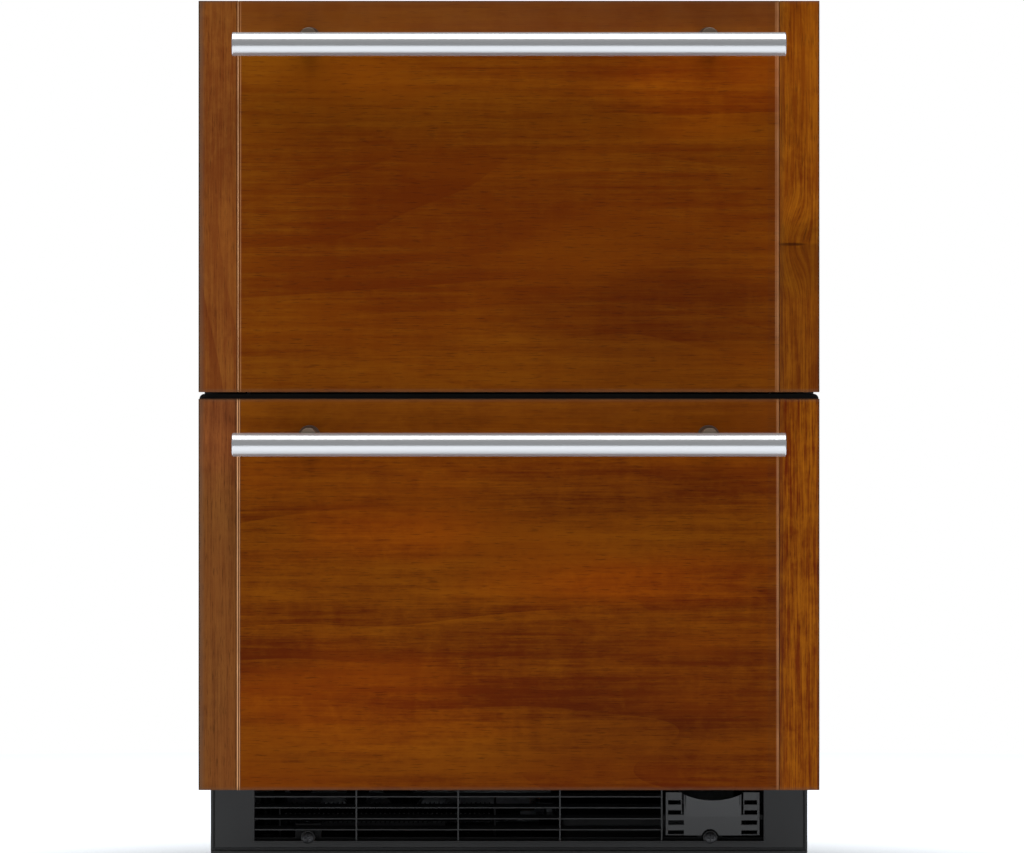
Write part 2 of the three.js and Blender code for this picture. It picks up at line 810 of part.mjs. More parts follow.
/** An impeller about y: a hub with a bore and pitched blades. */
function impeller(radius, hubRadius, thickness, blades, shaftRadius) {
  const hub = rodAlongY(hubRadius, 0, 0, 0, thickness, 18);
  const bladeLength = radius - hubRadius + 2;
  const made = Array.from({ length: blades }, (_, i) =>
    new THREE.BoxGeometry(bladeLength, 1.6, hubRadius * 1.6)
      .rotateX(THREE.MathUtils.degToRad(32))
      .translate(hubRadius - 2 + bladeLength / 2, thickness / 2, 0)
      .rotateY((2 * Math.PI * i) / blades),
  );
  const bore = rodAlongY(shaftRadius + screwClearance, 0, 0, -1, thickness + 1, 12);
  return cut(join(hub, ...made), bore);
}

const shaftRadius = 2.5;
const impellerThickness = 18;
const evaporatorFanY = coverPlaneY + coverSheet + 3;
const condenserFanX = condenserFanSideGap - cabinetWidth / 2;
const condenserFanZ = panTop + condenserFanRadius + 16;
const condenserFanY = bayFront + condenserFanBayGap;

function fans() {
  return [
    piece(
      'evaporator_fan',
      impeller(evaporatorFanRadius, 13, impellerThickness, 5, shaftRadius),
      finishes.fanPlastic,
      0,
      evaporatorFanY,
      evaporatorFanZ,
    ),
    piece(
      'condenser_fan',
      impeller(condenserFanRadius, 15, impellerThickness, 5, shaftRadius),
      finishes.fanPlastic,
      condenserFanX,
      condenserFanY,
      condenserFanZ,
    ),
  ];
}

/** Motor on a plate screwed to the liner's rear wall. */
function evaporatorFanMotor() {
  const back = interiorRear - evaporatorFanY - seat;
  const front = impellerThickness + 2;
  const body = join(
    rodAlongY(motorRadius, 0, 0, front, back - 1, 18),
    rodAlongY(shaftRadius, 0, 0, 4, front + 1, 10),
    box(-motorPlateHalf, motorPlateHalf, back - 2, back, -motorPlateHalf * 0.75, motorPlateHalf * 0.75),
  );
  return piece('evaporator_fan_motor', body, finishes.motor, 0, evaporatorFanY, evaporatorFanZ);
}

/** Motor on a ring plate that stands on the base pan behind the impeller. */
function condenserFanMotor() {
  const plateY = impellerThickness + 4;
  const ringHalf = condenserFanRadius + 12;
  const foot = panTop + seat - condenserFanZ;
  const ring = cut(
    box(-ringHalf, ringHalf, plateY, plateY + 2, foot, ringHalf),
    rodAlongY(condenserFanRadius + 4, 0, 0, plateY - 1, plateY + 3, 28),
  );
  const armHalf = condenserFanRadius + 5;
  const body = join(
    ring,
    box(-armHalf, armHalf, plateY, plateY + 2, -4, 4),
    box(-ringHalf, ringHalf, plateY, plateY + motorFootDepth, foot, foot + 2),
    rodAlongY(motorRadius, 0, 0, plateY, plateY + motorLength, 18),
    rodAlongY(shaftRadius, 0, 0, 4, plateY + 1, 10),
  );
  return piece('condenser_fan_motor', body, finishes.motor, condenserFanX, condenserFanY, condenserFanZ);
}

const evaporatorHalf = interiorHalf - evaporatorSideGap;
const evaporatorY = interiorRear - evaporatorBack;

/** Finned coil whose last pass turns back to the suction line. */
function evaporatorCoil() {
  const coil = serpentine(
    evaporatorPasses,
    -evaporatorHalf,
    evaporatorHalf,
    evaporatorPitch,
    coilTubeRadius,
    (x, rise) => new THREE.Vector3(x, evaporatorY, evaporatorBottom + rise),
  );
  const firstFin = evaporatorPitch * 0.7 - evaporatorHalf;
  const finSpacing = (-2 * firstFin) / (evaporatorFins - 1);
  const fins = Array.from({ length: evaporatorFins }, (_, i) => {
    const x = firstFin + finSpacing * i;
    const isEnd = i === 0 || i === evaporatorFins - 1;
    const back = isEnd ? interiorRear - seat : evaporatorY + evaporatorFinHalf;
    const [z0, z1] = [evaporatorBottom - evaporatorFinReach, lineTopZ + evaporatorFinReach];
    return box(x - 0.8, x + 0.8, evaporatorY - evaporatorFinHalf, back, z0, z1);
  });
  return piece('evaporator_coil', join(coil, ...fins), finishes.aluminium);
}

/** Copper line: coil outlet, through the liner, down the back, forward to the compressor. */
function suctionLine() {
  const corners = [
    [evaporatorHalf + seat, evaporatorY, lineTopZ],
    [lineX, evaporatorY, lineTopZ],
    [lineX, lineDropY, lineTopZ],
    [lineX, lineDropY, suctionStub.z],
    [lineX, compressorY, suctionStub.z],
    [suctionStub.x + seat, compressorY, suctionStub.z],
  ].map((corner) => new THREE.Vector3(...corner));
  return piece('suction_line', tube(filleted(corners, 10), lineRadius, 8), finishes.copper);
}

/** Copper line from the compressor round to the condenser's last pass. */
function dischargeLine() {
  const corners = [
    [dischargeStub.x - seat, compressorY, condenserZ],
    [dischargeLineX, compressorY, condenserZ],
    [dischargeLineX, condenserLastY, condenserZ],
    [condenserRight + seat, condenserLastY, condenserZ],
  ].map((corner) => new THREE.Vector3(...corner));
  return piece('discharge_line', tube(filleted(corners, 7), coilTubeRadius, 8), finishes.copper);
}

function evaporatorCover() {
  const half = interiorHalf - 20;
  const front = coverPlaneY;
  const back = interiorRear - seat;
  const bottom = mullionTop + 12;
  const top = interiorTop - 4;
  const shell = cut(
    wideBox(half, front, back, bottom, top),
    wideBox(half - coverSheet, front + coverSheet, back + 1, bottom + coverSheet, top - coverSheet),
  );
  const slotPitch = (2 * half) / (returnSlotCount + 1);
  const slotTop = bottom + returnSlotRise + returnSlotHeight;
  const mouthRadius = evaporatorFanRadius + 3;
  const fanHole = rodAlongY(mouthRadius, 0, evaporatorFanZ, front - 1, front + coverSheet + 1, 32);
  const returnSlots = Array.from({ length: returnSlotCount }, (_, i) => {
    const x = (i + 1) * slotPitch - half;
    const [x0, x1] = [x - slotPitch / 3, x + slotPitch / 3];
    return box(x0, x1, front - 1, front + coverSheet + 1, bottom + returnSlotRise, slotTop);
  });
  return piece('evaporator_cover', cut(shell, fanHole, ...returnSlots), finishes.liner);
}

const dischargeStub = { x: compressorX - compressorRadius - 10 };
const dischargeLineX = dischargeStub.x - dischargeRun / 2;
const condenserLeft = condenserSideGap - panWidth / 2;
const condenserRight = dischargeLineX - dischargeRun;
const condenserLastY = bayFront - condenserBayGap;
const condenserPitch = (condenserLastY - condenserFirst) / (condenserPasses - 1);
const condenserZ = panTop + condenserRise;

/** Flat serpentine under the deck on two end plates that stand in the pan. */
function condenserCoil() {
  const coil = serpentine(
    condenserPasses,
    condenserLeft,
    condenserRight,
    condenserPitch,
    coilTubeRadius,
    (x, run) => new THREE.Vector3(x, condenserFirst + run, condenserZ),
  );
  const reach = condenserPlateInset / 2;
  const [y0, y1] = [condenserFirst - reach, condenserLastY + reach];
  const plates = [condenserLeft + condenserPlateInset, condenserRight - condenserPlateInset].map((x) =>
    box(x - 1, x + 1, y0, y1, panTop + seat, condenserZ + condenserRise / 2),
  );
  return piece('condenser_coil', join(coil, ...plates), finishes.blackPaint);
}

const compressorY = cabinetDepth - compressorBackGap;
const compressorBase = panTop + compressorFootHeight;
const suctionStub = {
  x: compressorX + compressorRadius + compressorStubLength,
  z: compressorBase + compressorHeight * 0.72,
};

/** Welded steel shell on a rubber-footed plate, with its terminal box in front. */
function compressor() {
  const height = compressorHeight;
  const radius = compressorRadius;
  const domed = turned(
    [
      [0, 0],
      [radius * 0.78, 0],
      [radius * 0.97, height * 0.1],
      [radius, height * 0.42],
      [radius * 1.05, height * 0.44],
      [radius * 1.05, height * 0.48],
      [radius, height * 0.5],
      [radius * 0.97, height * 0.78],
      [radius * 0.8, height * 0.94],
      [radius * 0.45, height],
      [0, height],
    ],
    16,
  );
  const [plateHalfX, plateHalfY] = [radius + 14, radius - 12];
  const footPlate = box(-plateHalfX, plateHalfX, -plateHalfY, plateHalfY, 0, 3);
  const [pegX, pegY] = [plateHalfX - pegRadius - 3, plateHalfY - pegRadius - 1];
  const pegs = [-1, 1].flatMap((sx) =>
    [-1, 1].map((sy) =>
      rodAlongZ(pegRadius, sx * pegX, sy * pegY, seat - compressorFootHeight, 1, 12),
    ),
  );
  const terminalBox = box(-26, 26, -radius - 16, -radius + 12, height * 0.2, height * 0.6);
  const stub = (length, stubRadius, x, z) =>
    new THREE.CylinderGeometry(stubRadius, stubRadius, length, 10)
      .rotateZ(Math.PI / 2)
      .translate(x, 0, z);
  const inlet = stub(
    compressorStubLength + 10,
    lineRadius + 1,
    radius + (compressorStubLength - 10) / 2,
    suctionStub.z - compressorBase,
  );
  const outlet = stub(20, coilTubeRadius + 1, -radius, condenserZ - compressorBase);
  return piece(
    'compressor',
    join(domed, footPlate, terminalBox, inlet, outlet, ...pegs),
    finishes.compressor,
    compressorX,
    compressorY,
    compressorBase,
  );
}

/** Tray that catches defrost water, next to the warm coil. */
function drainPan() {
  const [x0, x1] = [compressorX - drainPanShift, panWidth / 2 - drainPanGap];
  const [y0, y1] = [drainPanFirst, bayFront - drainPanGap];
  const [bottom, top] = [panTop + seat, panTop + drainPanHeight];
  const w = drainPanWall;
  const outer = roundedRectangle(x0, x1, y0, y1, drainPanRadius);
  const inner = roundedRectangle(x0 + w, x1 - w, y0 + w, y1 - w, drainPanRadius - w);
  return piece(
    'drain_pan',
    cut(prismAlongZ(outer, bottom, top, 3), prismAlongZ(inner, bottom + w, top + 1, 3)),
    finishes.fanPlastic,
  );
}

// ---------------------------------------------------------------- controls

const controlFace = controlSetback;
const controlBottom = interiorTop - controlHeight;
const controlMiddle = interiorTop - controlHeight / 2;

function controlHousing() {
  const half = controlWidth / 2;
  const wells = [-1, 1].map((side) =>
    box(
      side * buttonOffset - buttonWidth / 2 - seat,
      side * buttonOffset + buttonWidth / 2 + seat,
      controlFace - 1,
      controlFace + buttonDepth - buttonProud + buttonTravel + seat,
      controlMiddle - buttonHeight / 2 - seat,
      controlMiddle + buttonHeight / 2 + seat,
    ),
  );
  const display = wideBox(22, controlFace - 1, controlFace + 1, controlMiddle - 7, controlMiddle + 7);
  const lensRecess = wideBox(
    half - 16,
    controlFace + 20,
    controlFace + controlDepth - 10,
    controlBottom - 1,
    controlBottom + lensRecessDepth,
  );
  const body = wideBox(half, controlFace, controlFace + controlDepth, controlBottom, interiorTop - seat);
  return piece('control_housing', cut(body, ...wells, display, lensRecess), finishes.kickPlastic);
}

function controlButtons() {
  const key = prismAlongY(
    roundedRectangle(-buttonWidth / 2, buttonWidth / 2, -buttonHeight / 2, buttonHeight / 2, 2),
    -buttonProud,
    buttonDepth - buttonProud,
    3,
  );
  return [
    piece('colder_button', key, finishes.coverPlastic, -buttonOffset, controlFace, controlMiddle),
    piece('warmer_button', key, finishes.coverPlastic, buttonOffset, controlFace, controlMiddle),
  ];
}

// ---------------------------------------------------------------- telescopic slides

/** A C-shaped rail between two x values: its web is at the first, its lips end at the second. */
function rail(web, lip, height, y0, y1) {
  const half = height / 2;
  const inner = web + Math.sign(lip - web) * slideSheet;
  const section = outline([
    [web, -half],
    [lip, -half],
    [lip, -half + slideSheet],
    [inner, -half + slideSheet],
    [inner, half - slideSheet],
    [lip, half - slideSheet],
    [lip, half],
    [web, half],
  ]);
  return prismAlongY(section, y0, y1);
}

/** Each member's place across the slide, measured from the liner towards the bin. */
const slideStations = {
  fixed: { web: seat, lip: 9.75, height: slideHeight },
  mid: { web: 2.5, lip: 11.75, height: slideHeight - 2 * (slideSheet + runningGap) },
  inner: {
    web: slideSpace - seat,
    lip: 5,
    height: slideHeight - 4 * (slideSheet + runningGap),
  },
};

/** One member of a drawer's slide, on the left (-1) or right (+1) side. */
function slideMember(name, member, side, height) {
  const { web, lip, height: size } = slideStations[member];
  const y0 = member === 'inner' ? doorBack + seat : slideFrontInset;
  const geometry = rail(-side * web, -side * lip, size, y0, slideFrontInset + slideLength);
  return piece(name, geometry, finishes.zincSteel, side * interiorHalf, 0, height);
}

// ---------------------------------------------------------------- drawers

/** A board's section in x and y, with its two front corners chamfered. */
function board(x0, x1) {
  const c = boardChamfer;
  return outline([
    [x0, woodBack - seat],
    [x0, woodFront + c],
    [x0 + c, woodFront],
    [x1 - c, woodFront],
    [x1, woodFront + c],
    [x1, woodBack - seat],
  ]);
}

function woodFronts(prefix, bottom) {
  const half = panelWidth / 2;
  const joint = half - stileWidth;
  const spans = {
    stile_left: [-half, -joint - seat / 2, finishes.stileWood],
    front_panel: [-joint + seat / 2, joint - seat / 2, finishes.wood],
    stile_right: [joint + seat / 2, half, finishes.stileWood],
  };
  return Object.entries(spans).map(([name, [x0, x1, material]]) =>
    piece(prefix + name, prismAlongZ(board(x0, x1), 0, panelHeight), material, 0, 0, bottom),
  );
}

/** Foam-filled front of a drawer, with the raised plinth that fills the opening. */
function doorCore(prefix, bottom, top, opening) {
  const half = panelWidth / 2;
  const slab = prismAlongY(
    roundedRectangle(-half, half, bottom + coreBottomInset, top, 0, doorCornerRadius),
    woodBack,
    doorBack,
    5,
  );
  const plinth = prismAlongY(
    roundedRectangle(
      -interiorHalf + plinthInset,
      interiorHalf - plinthInset,
      opening.bottom + plinthEndInset,
      opening.top - plinthEndInset,
      6,
    ),
    doorBack - 1,
    doorBack + plinthDepth,
    3,
  );
  return piece(prefix + 'door_core', join(slab, plinth), finishes.doorCore);
}

/** Magnetic seal: base strip, bellows and magnet pocket, in one closed ring. */
function gasket(prefix, bottom) {
  const ring = (inset, width, y0, y1) => {
    const half = panelWidth / 2 - inset;
    const [z0, z1] = [inset, panelHeight - inset];
    const outer = roundedRectangle(-half, half, z0, z1, 5);
    const inner = roundedRectangle(-half + width, half - width, z0 + width, z1 - width, 1.5);
    return cut(prismAlongY(outer, y0, y1, 2), prismAlongY(inner, y0 - 1, y1 + 1, 1));
  };
  const front = doorBack + seat;
  const back = -seat;
  const strips = join(
    ring(sealInset, sealWidth, front, front + 2.5),
    ring(sealInset + 3, sealWidth - 6, front + 2, back - 3.5),
    ring(sealInset + 1, sealWidth - 2, back - 4, back),
  );
  return piece(prefix + 'gasket', strips, finishes.gasket, 0, 0, bottom);
}

function handle(prefix, panelTop) {
  const z = panelTop - barDrop;
  const chamfer = 0.8;
  const bar = turned([
    [0, -barLength / 2],
    [barRadius - chamfer, -barLength / 2],
    [barRadius, -barLength / 2 + chamfer],
    [barRadius, barLength / 2 - chamfer],
    [barRadius - chamfer, barLength / 2],
    [0, barLength / 2],
  ], 24).rotateY(Math.PI / 2);
  const half = postWidth / 2;
  const saddle = rodAlongY(barRadius + seat, 0, 0, -barLength, barLength, 24)
    .rotateX(Math.PI / 2)
    .rotateY(Math.PI / 2);
  const section = roundedRectangle(-half, half, -postFall, postRise, 3, half - 0.01);
  const post = cut(prismAlongY(section, 0, barStandoff - seat, 5), saddle);
  const posts = { post_left: -1, post_right: 1 };
  return [
    piece(prefix + 'handle_bar', bar, finishes.brushedSteel, 0, barAxisY, z),
    ...Object.entries(posts).map(([name, side]) =>
      piece(prefix + 'handle_' + name, post, finishes.brushedSteel, (side * postSpacing) / 2, barAxisY, z),
    ),
  ];
}

const binFront = doorBack + plinthDepth + binFrontGap;
const binBack = coverPlaneY - binRearGap;
const binDepth = binBack - binFront;

/** An open tub between two heights, `depth` deep from front to back. */
function tub(bottom, top, depth) {
  const half = binHalf;
  const outer = roundedRectangle(-half, half, binFront, binFront + depth, binCornerRadius);
  const inner = roundedRectangle(
    -half + binWall,
    half - binWall,
    binFront + binWall,
    binFront + depth - binWall,
    binCornerRadius - binWall,
  );
  return {
    outside: prismAlongZ(outer, bottom, top),
    inside: prismAlongZ(inner, bottom + binWall, top + 1),
  };
}

const upperBinBottom = mullionTop + binFloorClearance;
const upperBinTop = interiorTop - upperBinHeadroom;
const lowerBinBottom = interiorFloor + binFloorClearance;
const lowerBinTop = mullionBottom - lowerBinHeadroom;

function upperBin() {
  const { outside, inside } = tub(upperBinBottom, upperBinTop, binDepth);
  return piece('upper_bin', cut(outside, inside), finishes.bin);
}

/** The lower bin is deep in front and steps up over the machine bay. */
function lowerBin() {
  const wellDepth = humpFront - binFront - binFloorClearance;
  const well = tub(lowerBinBottom, lowerBinTop, wellDepth);
  const shelf = tub(humpTop + binFloorClearance, lowerBinTop, binDepth);
  const both = join(well.outside, shelf.outside);
  return piece('lower_bin', cut(both, well.inside, shelf.inside), finishes.bin);
}

/** Plate across the upper bin, hooked over its front and rear rims. */
function binDivider() {
  const inside = [binFront + binWall + 1, binBack - binWall - 1];
  const top = upperBinTop + seat + 2;
  const plateBottom = upperBinTop - dividerShare * (upperBinTop - upperBinBottom);
  const plate = wideBox(dividerThickness / 2, ...inside, plateBottom, top);
  const lid = wideBox(dividerHook, binFront + 0.5, binBack - 0.5, upperBinTop + seat, top);
  const window = wideBox(
    dividerHook + 1,
    binFront + binWall + dividerHook,
    binBack - binWall - dividerHook,
    upperBinTop - 1,
    top + 1,
  );
  return piece('bin_divider', join(cut(lid, window), plate), finishes.bin);
}

/** Everything that belongs to one drawer: front, seal, handle, bin and slides. */
function drawer({ prefix, bottom, coreTop, opening, bin, slideAxis }) {
  const slides = ['fixed', 'mid', 'inner'].flatMap((member) =>
    [
      ['left', -1],
      ['right', 1],
    ].map(([side, sign]) =>
      slideMember(prefix + 'slide_' + member + '_' + side, member, sign, slideAxis),
    ),
  );
  return group(
    ...woodFronts(prefix, bottom),
    doorCore(prefix, bottom, coreTop, opening),
    gasket(prefix, bottom),
    ...handle(prefix, bottom + panelHeight),
    ...slides,
    ...bin,
  );
}

// ---------------------------------------------------------------- assembly

const cabinet = group(
  cabinetShell(),
  backPanel(),
  cordGland(),
  insulationFoam(),
  innerLiner(),
  frontMullion(),
);

const base = group(basePan(), ...legs(), kickGrille(), ...grilleScrews(), grilleAccessCover());

const cooling = group(
  ...fans(),
  evaporatorFanMotor(),
  condenserFanMotor(),
  evaporatorCoil(),
  evaporatorCover(),
  suctionLine(),
  dischargeLine(),
  condenserCoil(),
  compressor(),
  drainPan(),
);

const controls = group(controlHousing(), ...controlButtons());

const upperDrawer = drawer({
  prefix: 'upper_',
  bottom: upperPanelBottom,
  coreTop: upperPanelBottom + panelHeight - upperRimDrop,
  opening: { bottom: mullionTop, top: interiorTop },
  bin: [upperBin(), binDivider()],
  slideAxis: mullionTop + upperSlideRise,
});

const lowerDrawer = drawer({
  prefix: 'lower_',
  bottom: lowerPanelBottom,
  coreTop: lowerPanelBottom + panelHeight + lowerRimRise,
  opening: { bottom: interiorFloor, top: mullionBottom },
  bin: [lowerBin()],
  slideAxis: humpTop + lowerSlideRise,
});

const appliance = group(cabinet, base, cooling, controls, upperDrawer, lowerDrawer);
appliance.position.y = cabinetFrontY;

const refrigerator = new THREE.Group();
refrigerator.name = 'undercounter_drawer_refrigerator';
refrigerator.add(appliance);

export default refrigerator;
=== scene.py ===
"""Looks of an undercounter drawer refrigerator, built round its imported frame.

Sizes are in millimetres, +Z up, and the front faces -Y; Workshop turns them into Blender's metres.
Each sub-assembly is a class that makes its surfaces with numpy, puts them in the place of the
frame's plain solids and dresses them in procedural finishes. Only the studio is laid out in metres.
"""

import json
import logging
import math
from dataclasses import dataclass, replace
from enum import Enum
from typing import Callable, Iterable, Optional, Sequence, Union

import bmesh
import bpy
import numpy as np
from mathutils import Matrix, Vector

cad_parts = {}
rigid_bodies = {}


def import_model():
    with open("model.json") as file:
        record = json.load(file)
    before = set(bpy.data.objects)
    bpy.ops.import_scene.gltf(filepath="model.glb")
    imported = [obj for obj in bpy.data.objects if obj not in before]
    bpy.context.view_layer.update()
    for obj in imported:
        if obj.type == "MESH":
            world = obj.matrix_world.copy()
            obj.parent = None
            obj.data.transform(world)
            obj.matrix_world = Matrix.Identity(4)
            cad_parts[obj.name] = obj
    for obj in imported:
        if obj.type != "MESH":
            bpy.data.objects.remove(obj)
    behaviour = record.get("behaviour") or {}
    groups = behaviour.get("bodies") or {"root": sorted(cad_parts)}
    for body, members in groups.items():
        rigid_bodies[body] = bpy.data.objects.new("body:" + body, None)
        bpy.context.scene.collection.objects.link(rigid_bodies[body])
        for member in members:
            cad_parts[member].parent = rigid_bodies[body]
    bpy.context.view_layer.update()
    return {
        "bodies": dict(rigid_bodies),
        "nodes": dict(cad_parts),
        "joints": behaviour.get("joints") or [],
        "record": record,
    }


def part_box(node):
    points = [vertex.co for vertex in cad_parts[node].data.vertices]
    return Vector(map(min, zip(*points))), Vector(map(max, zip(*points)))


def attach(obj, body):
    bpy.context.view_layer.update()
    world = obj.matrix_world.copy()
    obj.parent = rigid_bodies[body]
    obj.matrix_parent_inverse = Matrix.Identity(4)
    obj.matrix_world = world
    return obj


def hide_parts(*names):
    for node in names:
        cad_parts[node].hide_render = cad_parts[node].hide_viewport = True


LOG = logging.getLogger("drawer_refrigerator")
Array = np.ndarray
Triple = tuple[float, float, float]
Colour = Triple
Tree = bpy.types.NodeTree
Node = bpy.types.Node
Output = bpy.types.NodeSocket
Outputs = bpy.types.NodeOutputs
Socket = Union[float, tuple, Output]

MM = 0.001  # a millimetre in metres
LEAST = 0.01  # least radius, so that no two corners fall together


# ------------ surfaces


class Plane(Enum):
    """The plane that an outline is drawn in; its depth runs along the third axis."""

    FRONT = (0, 2, 1)  # drawn in x and z, carried along y
    TOP = (0, 1, 2)  # drawn in x and y, carried along z
    SIDE = (1, 2, 0)  # drawn in y and z, carried along x


@dataclass
class Surface:
    """Points and faces of a mesh.

    Args:
        points: Array of (n, 3) places.
        faces: Arrays of (m, k) corner numbers, one array for each face size.
    """

    points: Array
    faces: list[Array]

    def placed(self, x: float = 0.0, y: float = 0.0, z: float = 0.0) -> "Surface":
        """The same surface, moved."""
        return Surface(self.points + np.array([x, y, z]), self.faces)

    def turned(self, angle: float) -> "Surface":
        """The same surface, turned about the y axis.

        Args:
            angle: Turn in radians.

        Returns:
            The turned surface.
        """
        x, y, z = self.points.T
        cos, sin = math.cos(angle), math.sin(angle)
        return Surface(np.stack([x * cos + z * sin, y, z * cos - x * sin], axis=-1), self.faces)


def joined(parts: Iterable[Surface]) -> Surface:
    """Several surfaces as one.

    Args:
        parts: The surfaces to put together.

    Returns:
        One surface with all their points and faces.
    """
    points: list[Array] = []
    faces: list[Array] = []
    start = 0
    for part in parts:
        points.append(part.points)
        faces.extend(face + start for face in part.faces)
        start += len(part.points)
    return Surface(np.vstack(points), faces)


def repeated(part: Surface, offsets: Array) -> Surface:
    """A surface copied to many places, as whole arrays.

    Args:
        part: The surface to copy.
        offsets: Array of (n, 3) moves.

    Returns:
        One surface that holds every copy.
    """
    count = len(part.points)
    shift = np.arange(len(offsets))[:, None, None] * count
    faces = [(face + shift).reshape(-1, face.shape[1]) for face in part.faces]
    return Surface((offsets[:, None] + part.points).reshape(-1, 3), faces)


def skin(rings: Array, closed_path: bool = False, capped: bool = True) -> Surface:
    """Quads between neighbouring closed rings of points.

    Args:
        rings: Array of (n, m, 3): n rings of m points.
        closed_path: Whether the last ring joins the first.
        capped: Whether an open path gets a flat face at each end.

    Returns:
        The closed surface.
    """
    n, m, _ = rings.shape
    number = np.arange(n * m).reshape(n, m)
    ahead = np.roll(number, -1, axis=0)
    if not closed_path:
        number, ahead = number[:-1], ahead[:-1]
    quads = np.stack([number, np.roll(number, -1, axis=1), np.roll(ahead, -1, axis=1), ahead], axis=-1)
    faces = [quads.reshape(-1, 4)]
    if capped and not closed_path:
        faces += [np.arange(m)[None, ::-1], (np.arange(m) + (n - 1) * m)[None]]
    return Surface(rings.reshape(-1, 3), faces)


def slab(inner: Array, face: Array) -> Surface:
    """A closed sheet between two grids of the same size.

    Args:
        inner: Grid of (n, m, 3) points of one face.
        face: Grid of the other.

    Returns:
        The closed surface.
    """
    n, m, _ = face.shape
    number = np.arange(n * m).reshape(n, m)

    def quads(grid: Array) -> Array:
        """Corner numbers of a grid's cells."""
        return np.stack([grid[:-1, :-1], grid[1:, :-1], grid[1:, 1:], grid[:-1, 1:]], -1).reshape(-1, 4)

    rim = np.concatenate([number[0, :-1], number[:-1, -1], number[-1, :0:-1], number[:0:-1, 0]])
    after = np.roll(rim, -1)
    wall = np.stack([rim, after, after + n * m, rim + n * m], axis=-1)
    points = np.vstack([inner.reshape(-1, 3), face.reshape(-1, 3)])
    return Surface(points, [quads(number), quads(number + n * m), wall])


def layered(outlines: Array, depths: Array, plane: Plane, closed_path: bool = False) -> Surface:
    """Outlines stacked along the axis across their plane.

    Args:
        outlines: Array of (n, m, 2): n outlines of m points.
        depths: Array of n places along the third axis.
        plane: The plane the outlines are drawn in.
        closed_path: Whether the last outline joins the first.

    Returns:
        The closed surface.
    """
    n, m, _ = outlines.shape
    a, b, c = plane.value
    rings = np.empty((n, m, 3))
    rings[..., a] = outlines[..., 0]
    rings[..., b] = outlines[..., 1]
    rings[..., c] = np.asarray(depths)[:, None]
    return skin(rings, closed_path)


def rectangles(sides: Sequence[float], corners: Sequence[float], insets: Array, steps: int = 5) -> Array:
    """Rounded rectangles, one inside the other.

    A corner point is its corner circle's centre plus radius times (cos t, sin t), with t over a
    quarter turn. An inset moves every side in and takes the same length off each radius.

    Args:
        sides: Lowest and highest first value, lowest and highest second value.
        corners: Radius of the two lower corners and of the two upper ones.
        insets: How far each outline lies inside the given sides.
        steps: Points on each corner, less one.

    Returns:
        Array of (n, 4 * (steps + 1), 2).
    """
    a0, a1, b0, b1 = sides
    low, high = corners
    inset = np.asarray(insets, float)[:, None]
    radius = np.maximum(np.array([[low, high, high, low]]) - inset, LEAST)
    centre_a = np.array([a1, a1, a0, a0]) + (inset + radius) * [-1, -1, 1, 1]
    centre_b = np.array([b0, b1, b1, b0]) + (inset + radius) * [1, -1, -1, 1]
    start = np.array([-0.5, 0.0, 0.5, 1.0]) * math.pi
    angle = start[:, None] + np.linspace(0, math.pi / 2, steps + 1)
    a = centre_a[:, :, None] + radius[:, :, None] * np.cos(angle)
    b = centre_b[:, :, None] + radius[:, :, None] * np.sin(angle)
    return np.stack([a.reshape(len(inset), -1), b.reshape(len(inset), -1)], axis=-1)


def edge_arcs(depths: Sequence[float], rounding: Sequence[float]) -> tuple[Array, Array]:
    """Insets and depths of a plate's layers, from one face over the rim to the other.

    Near each face the inset is r(1 - sin t) and the depth is r(1 - cos t) in from that face, for t
    from 0 to a quarter turn, which makes a quarter-round edge.

    Args:
        depths: Where the plate starts and ends.
        rounding: Radius of the edge at each of these faces.

    Returns:
        The insets and the depths, as two arrays.
    """
    turn = np.linspace(0, math.pi / 2, 4)
    inset = 1 - np.sin(turn)
    rise = math.copysign(1.0, depths[1] - depths[0]) * (1 - np.cos(turn))
    insets = np.append(rounding[0] * inset, rounding[1] * inset[::-1])
    return insets, np.append(depths[0] + rounding[0] * rise, depths[1] - rounding[1] * rise[::-1])


def plate(
    sides: Sequence[float], depths: Sequence[float], corners: Sequence[float] = (0.4, 0.4),
    rounding: Sequence[float] = (0.4, 0.4), plane: Plane = Plane.FRONT, steps: int = 5,
) -> Surface:
    """A flat plate with rounded corners and rounded edges.

    Args:
        sides: Lowest and highest first value, lowest and highest second value.
        depths: Where the plate starts and ends, along the axis across its plane.
        corners: Radius of the two lower corners and of the two upper ones.
        rounding: Radius of the edge round its first face and round its last face.
        plane: The plane it is drawn in.
        steps: Points on each corner, less one.

    Returns:
        The closed surface.
    """
    insets, layers = edge_arcs(depths, rounding)
    return layered(rectangles(sides, corners, insets, steps), layers, plane)


def framed(
    outer: Sequence[float], inner: Sequence[float], depths: Sequence[float],
    corners: Sequence[Sequence[float]], rounding: float,
) -> Surface:
    """A plate across y with an opening: its layers run over the outside and back through it.

    Args:
        outer: Sides of the plate.
        inner: Sides of the opening.
        depths: Where the plate starts and ends.
        corners: Lower and upper corner radius, of the plate and of the opening.
        rounding: Radius of every edge.

    Returns:
        The closed surface.
    """
    insets, layers = edge_arcs(depths, (rounding, rounding))
    outlines = [rectangles(outer, corners[0], insets), rectangles(inner, corners[1], -insets[::-1])]
    return layered(np.concatenate(outlines), np.append(layers, layers[::-1]), Plane.FRONT, True)


